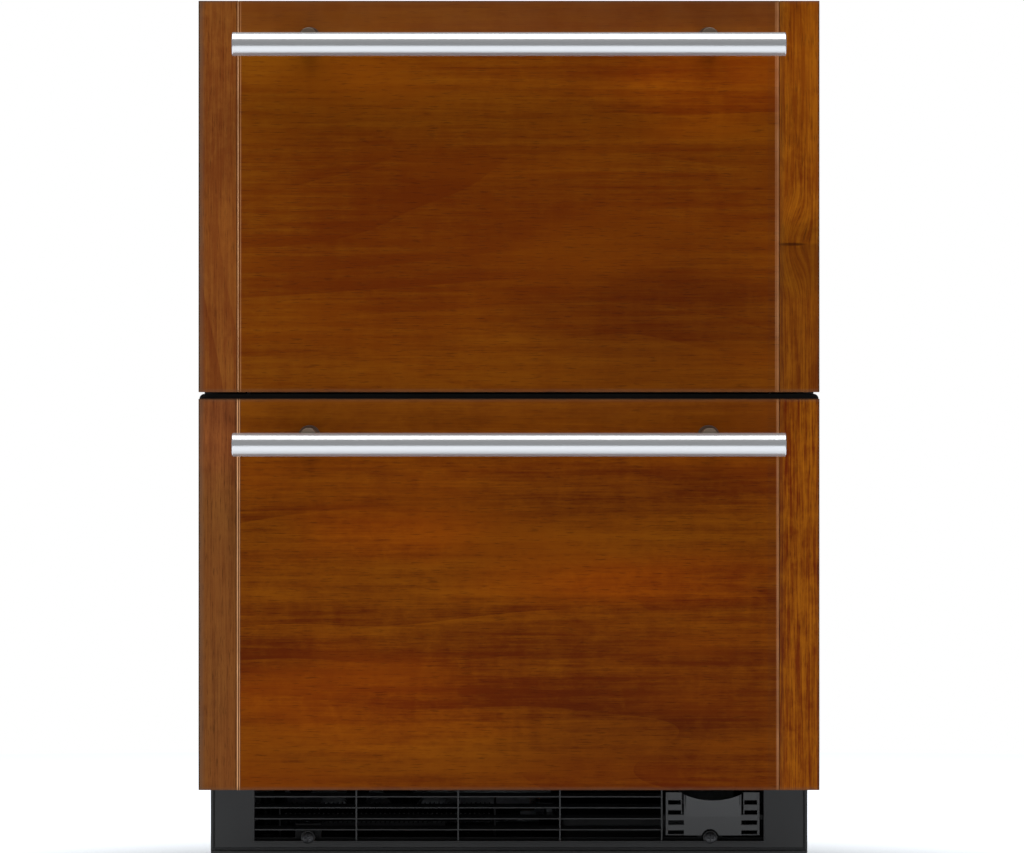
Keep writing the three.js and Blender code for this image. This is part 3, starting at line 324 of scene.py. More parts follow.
def tray(box: Array, wall: float, corner: float, draft: float) -> Surface:
    """An open tub: outside up, over a rounded rim, inside down to a rounded floor.

    Args:
        box: Its lowest and highest corner.
        wall: Thickness of its walls and floor.
        corner: Radius of its upright corners.
        draft: How far its foot is drawn in from its rim.

    Returns:
        The closed surface.
    """
    (x0, y0, bottom), (x1, y1, top) = box
    foot, rim = min(corner * 0.5, 6), wall / 2
    turn, over = np.linspace(0, math.pi / 2, 5), np.linspace(0, math.pi, 7)
    inset, rise = draft + foot * (1 - np.sin(turn)), bottom + foot * (1 - np.cos(turn))
    insets = np.concatenate([inset, rim * (1 - np.cos(over)), wall + inset[::-1]])
    levels = np.concatenate([rise, top - rim * (1 - np.sin(over)), wall + rise[::-1]])
    return layered(rectangles((x0, x1, y0, y1), (corner, corner), insets), levels, Plane.TOP)


def revolved(
    profile: Sequence[Sequence[float]], plane: Plane, centre: Sequence[float] = (0.0, 0.0),
    sides: int = 48, closed: bool = False,
) -> Surface:
    """A profile turned about the axis across a plane.

    Each profile point (r, h) becomes the circle r(cos t, sin t) at depth h.

    Args:
        profile: Pairs of radius and place along the axis.
        plane: The plane that the circles lie in.
        centre: Where the axis crosses that plane.
        sides: Points on each circle.
        closed: Whether the profile's last point joins its first.

    Returns:
        The closed surface.
    """
    drawn = np.asarray(profile, float)
    angle = np.linspace(0, 2 * math.pi, sides, endpoint=False)
    circle = np.stack([np.cos(angle), np.sin(angle)], axis=-1)
    radii = np.maximum(drawn[:, 0], LEAST)
    outlines = radii[:, None, None] * circle + np.asarray(centre)
    return layered(outlines, drawn[:, 1], plane, closed)


def filleted(corners: Sequence[Sequence[float]], radius: float) -> Array:
    """A polyline with each inner corner turned into an arc.

    The arc starts radius / tan(half angle) before the corner, and each of its points is the arc's
    centre plus a mix of its two end arms by sin((1 - s)a) / sin(a) and sin(sa) / sin(a).

    Args:
        corners: The corner points.
        radius: Bend radius.

    Returns:
        Array of (n, 3) points.
    """
    given = np.asarray(corners, float)
    share = np.linspace(0, 1, 7)[:, None]
    pieces = [given[:1]]
    for before, here, after in zip(given[:-2], given[1:-1], given[2:]):
        back = (before - here) / np.linalg.norm(before - here)
        on = (after - here) / np.linalg.norm(after - here)
        half = math.acos(float(np.clip(back @ on, -1, 1))) / 2
        middle = (back + on) / np.linalg.norm(back + on)
        centre = here + middle * radius / math.sin(half)
        start = here + back * radius / math.tan(half) - centre
        end = here + on * radius / math.tan(half) - centre
        sweep = math.pi - 2 * half
        mix = np.sin((1 - share) * sweep) * start + np.sin(share * sweep) * end
        pieces.append(centre + mix / math.sin(sweep))
    pieces.append(given[-1:])
    return np.vstack(pieces)


def tube(path: Array, radius: float, sides: int = 14) -> Surface:
    """A round tube along a path.

    Each ring is the path's point plus radius times (u cos t + v sin t), where u and v are square
    to the path's direction, and u is found from a fixed slanting reference.

    Args:
        path: Array of (n, 3) points.
        radius: Outer radius.
        sides: Points on each ring.

    Returns:
        The closed surface.
    """
    along = np.gradient(path, axis=0)
    along /= np.linalg.norm(along, axis=1, keepdims=True)
    across = np.cross(along, np.array([0.31, 0.57, 0.76]))
    across /= np.linalg.norm(across, axis=1, keepdims=True)
    up = np.cross(along, across)
    angle = np.linspace(0, 2 * math.pi, sides, endpoint=False)[None, :, None]
    rings = path[:, None] + radius * (across[:, None] * np.cos(angle) + up[:, None] * np.sin(angle))
    return skin(rings)


def serpentine(x0: float, x1: float, places: Array, radius: float) -> Surface:
    """A tube that runs to and fro along x through the given (y, z) places.

    Args:
        x0: Where the first run starts.
        x1: Where it ends and turns back.
        places: Array of (n, 2) places of the runs.
        radius: Outer radius of the tube.

    Returns:
        The closed surface.
    """
    ends = np.tile([[x0, x1], [x1, x0]], (len(places), 1))[: len(places)]
    corners = [(x, y, z) for (a, b), (y, z) in zip(ends, places) for x in (a, b)]
    bend = float(np.linalg.norm(places[1] - places[0])) / 2 - LEAST
    return tube(filleted(corners, bend), radius)


def threaded(radius: float, pitch: float, depth: float, bottom: float, top: float) -> Surface:
    """A threaded rod: radius minus depth times the distance of (turns - height) to a crest.

    Args:
        radius: Crest radius.
        pitch: Height of one turn.
        depth: Depth of the thread.
        bottom: Lower end.
        top: Upper end.

    Returns:
        The closed surface, on the z axis.
    """
    sides = 24
    heights = np.arange(bottom, top, pitch / 6)
    angle = np.linspace(0, 2 * math.pi, sides, endpoint=False)
    phase = (heights[:, None] / pitch - angle[None] / (2 * math.pi)) % 1.0
    reach = radius - depth * np.abs(phase * 2 - 1)
    outlines = np.stack([reach * np.cos(angle), reach * np.sin(angle)], axis=-1)
    return layered(outlines, heights, Plane.TOP)


# ------------ shader graphs


class Graph:
    """Adds nodes to a tree; each helper returns the socket that holds its result."""

    def __init__(self, tree: Tree) -> None:
        """Keeps the tree that nodes are added to."""
        self.tree = tree

    def feed(self, node: Node, inputs: dict) -> None:
        """Gives a node's inputs their values, and links those whose value is a socket.

        Args:
            node: The node.
            inputs: Input name or number to a value or a socket.
        """
        for key, value in inputs.items():
            if isinstance(value, Output):
                self.tree.links.new(value, node.inputs[key])
            else:
                node.inputs[key].default_value = value

    def node(self, kind: str, inputs: Optional[dict] = None, **settings: object) -> Node:
        """Adds a node.

        Args:
            kind: The node's type name.
            inputs: Input name or number to a value or a socket.
            settings: Properties of the node.

        Returns:
            The node.
        """
        made = self.tree.nodes.new(kind)
        for key, value in settings.items():
            setattr(made, key, value)
        self.feed(made, inputs or {})
        return made

    def group(self, tree: Tree, inputs: dict) -> Outputs:
        """Adds a shared group with its values; its outputs."""
        return self.node("ShaderNodeGroup", inputs, node_tree=tree).outputs

    def math(self, operation: str, a: Socket, b: Socket = 0.0, c: Socket = 0.0) -> Output:
        """The result of a Math node."""
        return self.node("ShaderNodeMath", {0: a, 1: b, 2: c}, operation=operation).outputs[0]

    def vector(self, operation: str, a: Socket, b: Socket = (0, 0, 0)) -> Output:
        """The vector result of a Vector Math node."""
        return self.node("ShaderNodeVectorMath", {0: a, 1: b}, operation=operation).outputs[0]

    def length(self, vector: Socket) -> Output:
        """The length of a vector."""
        return self.node("ShaderNodeVectorMath", {0: vector}, operation="LENGTH").outputs[1]

    def split(self, vector: Socket) -> Sequence[Output]:
        """The three values of a vector."""
        return self.node("ShaderNodeSeparateXYZ", {0: vector}).outputs[:3]

    def mix(self, factor: Socket, a: Socket, b: Socket, blend: str = "MIX") -> Output:
        """Two colours mixed by a factor."""
        inputs = {0: factor, 6: a, 7: b}
        return self.node("ShaderNodeMix", inputs, data_type="RGBA", blend_type=blend).outputs[2]

    def stretched(self, vector: Socket, scale: Sequence[float], place: Sequence[float] = (0, 0, 0)) -> Output:
        """Coordinates scaled along each axis and moved."""
        inputs = {"Vector": vector, "Scale": scale, "Location": place}
        return self.node("ShaderNodeMapping", inputs).outputs[0]

    def noise(
        self, vector: Socket, scale: Socket, detail: float = 2.0, rough: float = 0.5, warp: float = 0.0
    ) -> Output:
        """The value of a Noise texture."""
        inputs = {"Vector": vector, "Scale": scale, "Detail": detail, "Roughness": rough, "Distortion": warp}
        return self.node("ShaderNodeTexNoise", inputs).outputs[0]

    def cells(self, vector: Socket, scale: Socket, output: str = "Distance") -> Output:
        """An output of a Voronoi texture."""
        return self.node("ShaderNodeTexVoronoi", {"Vector": vector, "Scale": scale}).outputs[output]

    def between(
        self, value: Socket, low: float, high: float, to_low: Socket = 0.0, to_high: Socket = 1.0
    ) -> Output:
        """A value carried smoothly from one range to another, and held at its ends."""
        inputs = {0: value, 1: low, 2: high, 3: to_low, 4: to_high}
        return self.node("ShaderNodeMapRange", inputs, interpolation_type="SMOOTHSTEP").outputs[0]


def shared_group(name: str, inputs: dict[str, tuple], outputs: dict[str, str], build: Callable) -> Tree:
    """A shader node group that is made once and reused.

    Args:
        name: Name of the group.
        inputs: Input name to its socket type and default value.
        outputs: Output name to its socket type.
        build: Takes the graph and the input sockets and returns the output sockets by name.

    Returns:
        The group's tree.
    """
    if name in bpy.data.node_groups:
        return bpy.data.node_groups[name]
    tree = bpy.data.node_groups.new(name, "ShaderNodeTree")
    for key, (kind, value) in inputs.items():
        socket = tree.interface.new_socket(key, in_out="INPUT", socket_type=kind)
        if value is not None:
            socket.default_value = value
    for key, kind in outputs.items():
        tree.interface.new_socket(key, in_out="OUTPUT", socket_type=kind)
    graph = Graph(tree)
    source = graph.node("NodeGroupInput")
    sink = graph.node("NodeGroupOutput")
    graph.feed(sink, build(graph, source.outputs))
    return tree


FLOAT = "NodeSocketFloat"
COLOUR = "NodeSocketColor"
VECTOR = ("NodeSocketVector", None)


def wood_figure() -> Tree:
    """Flat-sawn hardwood with its grain along the first axis and growth rings across the second.

    Broad tone, warped growth rings, long fibres, short open pores, a faint cross ripple, an even
    mottle and one flat knot that pushes the fibres aside are added up around the middle tone.

    Returns:
        Group with Colour, Height and Polish outputs.
    """

    def build(graph: Graph, given: Outputs) -> dict:
        """Joins up the figure's layers.

        Args:
            graph: Graph of the group.
            given: Its inputs.

        Returns:
            Its outputs by name.
        """
        away = graph.vector("SUBTRACT", given["Vector"], given["Knot"])
        gap = graph.length(graph.vector("MULTIPLY", away, (0.42, 1.0, 0.0)))
        slit = graph.length(graph.vector("MULTIPLY", away, (1.0, 0.12, 0.0)))
        near = graph.between(gap, 0.0, 0.024, given["Knot Strength"], 0.0)
        along, across, deep = graph.split(given["Vector"])
        across = graph.math("MULTIPLY_ADD", near, 0.012, across)
        bent = graph.node("ShaderNodeCombineXYZ", {0: along, 1: across, 2: deep}).outputs[0]

        def layer(
            scale: Triple, detail: float, rough: float = 0.5, warp: float = 0.0, shift: Triple = (0, 0, 0)
        ) -> Output:
            """Noise drawn out along the bent grain."""
            return graph.noise(graph.stretched(bent, scale, shift), 1.0, detail, rough, warp)

        broad = layer((1.3, 9.0, 3.0), 3.0, 0.55)
        drift = layer((1.1, 3.4, 2.0), 2.0, shift=(3.1, 1.7, 0.4))
        fade = graph.between(layer((2.0, 12.0, 3.0), 1.0), 0.4, 0.65)
        fibres = layer((16.0, 620.0, 60.0), 4.0, 0.62, 0.2)
        streaks = layer((5.0, 150.0, 20.0), 3.0, 0.6, 0.3, (0.4, 2.0, 0.0))
        ripple = layer((46.0, 14.0, 8.0), 2.0, 0.5, 0.8)
        mottle = layer((52.0, 84.0, 60.0), 4.0, 0.72, 0.4)
        pores = graph.between(layer((60.0, 950.0, 200.0), 2.0), 0.57, 0.70)
        blush = graph.between(layer((4.0, 16.0, 3.0), 2.0, shift=(5.0, 0.3, 1.0)), 0.45, 0.75)
        phase = graph.math("MULTIPLY_ADD", across, given["Rings"], graph.math("MULTIPLY", drift, 9.0))
        rings = graph.math("MULTIPLY", graph.between(graph.math("FRACT", phase), 0.35, 1.0), fade)
        tone = graph.math("MULTIPLY_ADD", rings, -0.22, 0.5)
        weights = ((broad, 1.15), (streaks, 0.75), (fibres, given["Fibre"]), (ripple, 0.22))
        for value, weight in (*weights, (mottle, given["Mottle"])):
            tone = graph.math("MULTIPLY_ADD", graph.math("SUBTRACT", value, 0.5), weight, tone)
        base = graph.mix(graph.between(tone, 0.12, 0.92), given["Dark"], given["Light"])
        warm = graph.mix(graph.math("MULTIPLY", blush, 0.55), base, given["Accent"])
        pored = graph.mix(graph.math("MULTIPLY", pores, 0.42), warm, given["Pore"])
        core = graph.between(slit, 0.0007, 0.0022, given["Knot Strength"], 0.0)
        knotted = graph.mix(graph.math("MULTIPLY", core, 0.8), pored, given["Pore"])
        height = graph.math("MULTIPLY_ADD", fibres, 0.35, graph.math("MULTIPLY", pores, -1.0))
        polish = graph.math("MULTIPLY_ADD", pores, 0.12, graph.math("MULTIPLY", streaks, 0.08))
        return {"Colour": knotted, "Height": height, "Polish": polish}

    inputs = {"Vector": VECTOR, "Knot": VECTOR}
    inputs |= {key: (FLOAT, 0.0) for key in ("Knot Strength", "Rings", "Fibre", "Mottle")}
    inputs |= {key: (COLOUR, (0, 0, 0, 1)) for key in ("Light", "Dark", "Accent", "Pore")}
    return shared_group("Wood figure", inputs, {"Colour": COLOUR, "Height": FLOAT, "Polish": FLOAT}, build)


def fine_grain() -> Tree:
    """The leather-like texture of a moulded or powder-coated face.

    Returns:
        Group with a Height output and a Cloud output that shades roughness and colour slowly.
    """

    def build(graph: Graph, given: Outputs) -> dict:
        """Adds cells to fine noise, and makes a broad cloud.

        Args:
            graph: Graph of the group.
            given: Its inputs.

        Returns:
            Its outputs by name.
        """
        fine = graph.noise(given["Vector"], given["Scale"], 3.0, 0.6)
        height = graph.math("MULTIPLY_ADD", graph.cells(given["Vector"], given["Scale"]), 0.5, fine)
        cloud = graph.noise(graph.stretched(given["Vector"], (3.0, 3.0, 3.0)), 1.6, 3.0, 0.6)
        return {"Height": height, "Cloud": cloud}

    inputs = {"Vector": VECTOR, "Scale": (FLOAT, 900.0)}
    return shared_group("Fine grain", inputs, {"Height": FLOAT, "Cloud": FLOAT}, build)


def brushed_lines() -> Tree:
    """Long scratches of a brushed or drawn metal, along the first axis.

    Returns:
        Group with Height and Streak outputs.
    """

    def build(graph: Graph, given: Outputs) -> dict:
        """Draws noise out along the brushing, fine and broad.

        Args:
            graph: Graph of the group.
            given: Its inputs.

        Returns:
            Its outputs by name.
        """
        fine = graph.noise(graph.stretched(given["Vector"], (9.0, 2600.0, 2600.0)), 1.0, 3.0, 0.7)
        broad = graph.noise(graph.stretched(given["Vector"], (2.5, 300.0, 300.0)), 1.0, 2.0, 0.5)
        streak = graph.math("MULTIPLY_ADD", broad, 0.5, graph.math("MULTIPLY", fine, 0.5))
        return {"Height": fine, "Streak": streak}

    return shared_group("Brushed lines", {"Vector": VECTOR}, {"Height": FLOAT, "Streak": FLOAT}, build)


def edge_wear() -> Tree:
    """Rubbed edges of a boxy piece.

    The gap to the nearest box face is taken along each axis. The middle one of the three gaps is
    small only near an edge, and noise breaks the band that it gives.

    Returns:
        Group with a Mask output.
    """

    def build(graph: Graph, given: Outputs) -> dict:
        """Finds the middle gap and breaks it up.

        Args:
            graph: Graph of the group.
            given: Its inputs.

        Returns:
            Its outputs by name.
        """
        centred = graph.vector("SUBTRACT", given["Vector"], given["Centre"])
        inside = graph.vector("SUBTRACT", given["Half Size"], graph.vector("ABSOLUTE", centred))
        x, y, z = graph.split(inside)
        low = graph.math("MINIMUM", x, y)
        high = graph.math("MAXIMUM", x, y)
        middle = graph.math("MAXIMUM", low, graph.math("MINIMUM", high, z))
        noise = graph.noise(given["Vector"], 160.0, 4.0, 0.65)
        ragged = graph.math("MULTIPLY_ADD", noise, 0.004, -0.0016)
        band = graph.between(graph.math("ADD", middle, ragged), 0.0002, 0.0016, 1.0, 0.0)
        patchy = graph.between(graph.noise(given["Vector"], 14.0, 2.0), 0.42, 0.66)
        return {"Mask": graph.math("MULTIPLY", band, patchy)}

    inputs = {"Vector": VECTOR, "Centre": VECTOR, "Half Size": VECTOR}
    return shared_group("Edge wear", inputs, {"Mask": FLOAT}, build)


def settled_dust() -> Tree:
    """Dust on faces that look up, broken by noise.

    Returns:
        Group with a Mask output.
    """

    def build(graph: Graph, given: Outputs) -> dict:
        """Lets dust lie where the normal points up.

        Args:
            graph: Graph of the group.
            given: Its inputs.

        Returns:
            Its outputs by name.
        """
        upward = graph.split(graph.node("ShaderNodeNewGeometry").outputs["Normal"])[2]
        facing = graph.between(upward, 0.25, 1.0, 0.12, 1.0)
        patches = graph.between(graph.noise(given["Vector"], 9.0, 5.0, 0.6), 0.3, 0.8, 0.35, 1.0)
        specks = graph.between(graph.noise(given["Vector"], 900.0, 2.0, 0.5), 0.5, 0.8)
        both = graph.math("MULTIPLY_ADD", specks, 0.5, patches)
        amount = graph.math("MULTIPLY", graph.math("MULTIPLY", facing, both), given["Amount"])
        return {"Mask": graph.math("MINIMUM", amount, 1.0)}

    inputs = {"Vector": VECTOR, "Amount": (FLOAT, 0.3)}
    return shared_group("Settled dust", inputs, {"Mask": FLOAT}, build)


# ------------ finishes


class Grain(Enum):
    """Which way a piece's grain or brushing runs, as a turn that brings it along x."""

    ALONG_X = (math.pi / 2, 0.0, 0.0)
    ALONG_Y = (0.0, 0.0, -math.pi / 2)
    ALONG_Z = (-math.pi / 2, 0.0, math.pi / 2)

    def laid(self, graph: Graph, vector: Socket) -> Output:
        """Coordinates with this grain brought along x."""
        return graph.node("ShaderNodeMapping", {"Vector": vector, "Rotation": self.value}).outputs[0]


@dataclass(frozen=True)
class Finish:
    """What every finish has.

    Args:
        name: Name of the material.
        slot: The record's material slot it belongs to; not used.
        colour: Base colour, linear.
        roughness: Middle roughness.
    """

    name: str
    slot: str
    colour: Colour
    roughness: float

    def material(self) -> bpy.types.Material:
        """The finish as a material, made once.

        Returns:
            The material.
        """
        if self.name in bpy.data.materials:
            return bpy.data.materials[self.name]
        made = bpy.data.materials.new(self.name)
        made.use_nodes = True
        made.diffuse_color = (*self.colour, 1.0)
        graph = Graph(made.node_tree)
        place = graph.node("ShaderNodeTexCoord").outputs["Object"]
        self.build(graph, made.node_tree.nodes["Principled BSDF"], place)
        return made

    def build(self, graph: Graph, shader: Node, place: Output) -> None:
        """Adds the finish's nodes; each kind of finish has its own."""
        raise NotImplementedError

    def bump(self, graph: Graph, shader: Node, height: Output, depth: float) -> None:
        """Leads a height into the shader's normal.

        Args:
            graph: Graph of the material.
            shader: Its shader.
            height: Height, about 0 to 1.
            depth: What a height of 1 stands for.
        """
        inputs = {"Height": height, "Distance": depth * MM, "Strength": 1.0}
        graph.feed(shader, {"Normal": graph.node("ShaderNodeBump", inputs).outputs[0]})

    def spread(self, graph: Graph, shader: Node, value: Output, reach: float) -> None:
        """Lets roughness vary by `reach` either side of its middle as a value runs from 0 to 1."""
        inputs = {0: value, 1: 0.2, 2: 0.8, 3: self.roughness - reach, 4: self.roughness + reach}
        graph.feed(shader, {"Roughness": graph.node("ShaderNodeMapRange", inputs).outputs[0]})


def shaded(colour: Colour, factor: float = 1.0) -> tuple[float, float, float, float]:
    """A colour made lighter or darker, with alpha."""
    return tuple(min(1.0, c * factor) for c in colour) + (1.0,)


@dataclass(frozen=True)
class Stripe:
    """A band across a board where its colour changes.

    Args:
        axis: 0 for a place along x, 2 for one along z.
        centre: Its middle.
        half: Half the width of its full strength.
        soft: Width over which it fades on either side.
        share: How much of the other colour it takes.
        colour: The other colour.
    """

    axis: int
    centre: float
    half: float
    soft: float
    share: float
    colour: Colour


@dataclass(frozen=True)
class Patch:
    """A broad soft patch of a board that is lighter or darker than the rest.

    Args:
        x: Its middle along x.
        z: Its middle along z.
        reach_x: How far it goes along x.
        reach_z: How far it goes along z.
        tint: What the colour is multiplied by.
    """

    x: float
    z: float
    reach_x: float
    reach_z: float
    tint: Colour


@dataclass(frozen=True)
class Wood(Finish):
    """Oiled and lacquered hardwood.

    Args:
        dark: Colour of its dark streaks.
        accent: Colour of its warm patches.
        grain: Which way the grain runs.
        shift: Place in the pattern, so that no two boards are alike.
        rings: Growth rings per metre across the board.
        fibre: How strongly the fibres show.
        knot: Place of a knot, or None; the board is darker below it.
        mottle: How strongly the even mottle shows.
        patches: Broad patches of its figure.
        stripes: Bands along its edges and joints, of painted shade, sheen and highlight.
    """

    dark: Colour
    accent: Colour
    grain: Grain
    shift: Triple
    rings: float
    fibre: float
    knot: Optional[Triple]
    mottle: float
    patches: tuple[Patch, ...] = ()
    stripes: tuple[Stripe, ...] = ()

    def build(self, graph: Graph, shader: Node, place: Output) -> None:
        """Lays the wood figure along the board and lets pores take the shine.

        Args:
            graph: Graph of the material.
            shader: Its shader.
            place: Object coordinates.
        """
        values: dict = {
            "Vector": graph.stretched(self.grain.laid(graph, place), (1, 1, 1), self.shift),
            "Rings": self.rings,
            "Fibre": self.fibre,
            "Mottle": self.mottle,
            "Light": shaded(self.colour),
            "Dark": shaded(self.dark),
            "Accent": shaded(self.accent),
            "Pore": shaded(self.dark, 0.3),
        }
        if self.knot:
            centre = [MM * v for v in self.knot]
            middle = graph.node("ShaderNodeCombineXYZ", dict(enumerate(centre))).outputs[0]
            values["Knot"] = graph.vector("ADD", self.grain.laid(graph, middle), self.shift)
            values["Knot Strength"] = 1.0
        figure = graph.group(wood_figure(), values)
        tone = figure["Colour"]
        places = graph.split(place)
        if self.knot:
            wobble = graph.math("MULTIPLY_ADD", graph.noise(place, 60.0), 0.010, -0.005)
            level = graph.math("ADD", places[2], wobble)
            below = graph.between(level, centre[2] - 0.003, centre[2] + 0.002, 1.0, 0.0)
            tone = graph.mix(graph.math("MULTIPLY", below, 0.3), tone, (0.235, 0.060, 0.003, 1.0))
            tone = graph.mix(below, tone, (0.76, 0.73, 0.75, 1.0), "MULTIPLY")
        ragged = graph.noise(graph.stretched(place, (7.0, 7.0, 24.0)), 1.0, 3.0)
        for patch in self.patches:
            away = graph.vector("SUBTRACT", place, (MM * patch.x, 0.0, MM * patch.z))
            away = graph.vector("MULTIPLY", away, (1 / (MM * patch.reach_x), 0.0, 1 / (MM * patch.reach_z)))
            mask = graph.between(graph.math("ADD", graph.length(away), ragged), 0.6, 1.5, 1.0, 0.0)
            tone = graph.mix(mask, tone, (*patch.tint, 1.0), "MULTIPLY")
        # Noise that varies the strength of the painted shade, sheen and highlight stripes along the board; it
        # is not wear.
        worn = graph.between(graph.noise(place, 40.0, 3.0), 0.3, 0.7, 0.72, 1.1)
        for stripe in self.stripes:
            gap = graph.math("SUBTRACT", places[stripe.axis], MM * stripe.centre)
            half, end = MM * stripe.half, MM * (stripe.half + stripe.soft)
            band = graph.between(graph.math("ABSOLUTE", gap), half, end, stripe.share, 0.0)
            tone = graph.mix(graph.math("MULTIPLY", band, worn), tone, shaded(stripe.colour))
        rough = graph.math("ADD", figure["Polish"], self.roughness)
        graph.feed(shader, {"Base Color": tone, "Roughness": rough, "Specular IOR Level": 0.04})
        self.bump(graph, shader, figure["Height"], 0.06)


@dataclass(frozen=True)
class Moulded(Finish):
    """Moulded plastic or rubber.

    Args:
        scale: Grain cells per metre.
        depth: Depth of the grain.
        dust: How much dust lies on it.
        clear: Share of light that passes through.
    """

    scale: float = 900.0
    depth: float = 0.03
    dust: float = 0.0
    clear: float = 0.0

    def build(self, graph: Graph, shader: Node, place: Output) -> None:
        """Gives the plastic its grain, slow shading and dust.

        Args:
            graph: Graph of the material.
            shader: Its shader.
            place: Object coordinates.
        """
        grain = graph.group(fine_grain(), {"Vector": place, "Scale": self.scale})
        tone = graph.mix(grain["Cloud"], shaded(self.colour, 0.88), shaded(self.colour, 1.1))
        if self.dust:
            dust = graph.group(settled_dust(), {"Vector": place, "Amount": self.dust})
            tone = graph.mix(dust["Mask"], tone, (0.34, 0.31, 0.27, 1.0))
        graph.feed(shader, {"Base Color": tone})
        self.spread(graph, shader, grain["Cloud"], 0.07)
        if self.clear:
            graph.feed(shader, {"Transmission Weight": self.clear, "IOR": 1.49})
        self.bump(graph, shader, grain["Height"], self.depth)


@dataclass(frozen=True)
class Painted(Finish):
    """Painted sheet steel: orange peel, rubbed edges and dust.

    Args:
        peel: Depth of the orange peel.
        dust: How much dust lies on it.
        gloss: The shader's specular level.
        centre: Middle of the piece, for its worn edges.
        half: Half its size along each axis; as it stands, it wears none.
    """

    peel: float = 0.05
    dust: float = 0.1
    gloss: float = 0.5
    centre: Triple = (0.0, 0.0, 0.0)
    half: Triple = (9000.0, 9000.0, 9000.0)

    def worn_on(self, low: Array, high: Array) -> "Painted":
        """The same paint, worn along the edges of a box."""
        return replace(self, centre=tuple((low + high) / 2), half=tuple((high - low) / 2))

    def build(self, graph: Graph, shader: Node, place: Output) -> None:
        """Lays paint over steel and wears it at the edges.

        Args:
            graph: Graph of the material.
            shader: Its shader.
            place: Object coordinates.
        """
        grain = graph.group(fine_grain(), {"Vector": place, "Scale": 420.0})
        centre, half = ([MM * v for v in values] for values in (self.centre, self.half))
        wear = graph.group(edge_wear(), {"Vector": place, "Centre": centre, "Half Size": half})["Mask"]
        dust = graph.group(settled_dust(), {"Vector": place, "Amount": self.dust})["Mask"]
        tone = graph.mix(grain["Cloud"], shaded(self.colour, 0.93), shaded(self.colour, 1.07))
        worn = graph.mix(wear, tone, (0.3, 0.3, 0.31, 1.0))
        dusty = graph.mix(dust, worn, (0.34, 0.32, 0.29, 1.0))
        graph.feed(shader, {"Base Color": dusty, "Metallic": wear, "Specular IOR Level": self.gloss})
        self.spread(graph, shader, grain["Cloud"], 0.03)
        self.bump(graph, shader, grain["Height"], self.peel)


@dataclass(frozen=True)
class Metal(Finish):
    """Bare metal with brushing, spangle or tarnish.

    Args:
        grain: Which way it is brushed or drawn.
        depth: Depth of the brushing.
        mottle: How strongly the colour clouds, as on zinc.
        tint: Colour of the clouds.
        streaks: How far the brushing moves the roughness.
        solid: Share that mirrors as bare metal does; the rest scatters, as fine brushing does.
    """

    grain: Grain = Grain.ALONG_X
    depth: float = 0.004
    mottle: float = 0.15
    tint: Colour = (0.5, 0.5, 0.52)
    streaks: float = 0.07
    solid: float = 1.0

    def build(self, graph: Graph, shader: Node, place: Output) -> None:
        """Brushes the metal and clouds its colour.

        Args:
            graph: Graph of the material.
            shader: Its shader.
            place: Object coordinates.
        """
        lines = graph.group(brushed_lines(), {"Vector": self.grain.laid(graph, place)})
        spangle = graph.cells(place, 130.0, "Color")
        flakes = graph.node("ShaderNodeSeparateColor", {0: spangle}).outputs[0]
        cloud = graph.noise(place, 24.0, 3.0, 0.6)
        patch = graph.math("MULTIPLY", graph.math("MULTIPLY_ADD", flakes, 0.5, cloud), self.mottle)
        tone = graph.mix(patch, shaded(self.colour), shaded(self.tint))
        graph.feed(shader, {"Base Color": tone, "Metallic": self.solid})
        self.spread(graph, shader, lines["Streak"], self.streaks)
        self.bump(graph, shader, lines["Height"], self.depth)


@dataclass(frozen=True)
class Foam(Finish):
    """Cut polyurethane foam with open cells."""

    def build(self, graph: Graph, shader: Node, place: Output) -> None:
        """Gives the foam its cells and its yellowed patches.

        Args:
            graph: Graph of the material.
            shader: Its shader.
            place: Object coordinates.
        """
        cloud = graph.noise(place, 9.0, 4.0, 0.6)
        tone = graph.mix(cloud, shaded(self.colour, 0.8), shaded(self.colour, 1.1))
        graph.feed(shader, {"Base Color": tone})
        self.spread(graph, shader, cloud, 0.05)
        self.bump(graph, shader, graph.cells(place, 700.0), 0.5)


@dataclass(frozen=True)
class Lens(Finish):
    """Frosted lens with a lamp behind it.

    Args:
        glow: Strength of the light it gives.
        pitch: Distance between its small lamps.
    """

    glow: float = 1.5
    pitch: float = 30.0

    def build(self, graph: Graph, shader: Node, place: Output) -> None:
        """Lights the lens unevenly, brightest over each small lamp.

        Args:
            graph: Graph of the material.
            shader: Its shader.
            place: Object coordinates.
        """
        turns = graph.math("MULTIPLY", graph.split(place)[0], 2 * math.pi / (MM * self.pitch))
        frost = graph.noise(place, 1500.0, 2.0)
        wave = graph.math("MULTIPLY_ADD", frost, 0.4, graph.math("SINE", turns))
        level = graph.between(wave, -1.0, 1.3, 0.55, 1.0)
        glow = graph.mix(level, (0.0, 0.0, 0.0, 1.0), shaded(self.colour))
        graph.feed(shader, {"Emission Color": glow, "Base Color": glow, "Emission Strength": self.glow})
        self.spread(graph, shader, frost, 0.1)


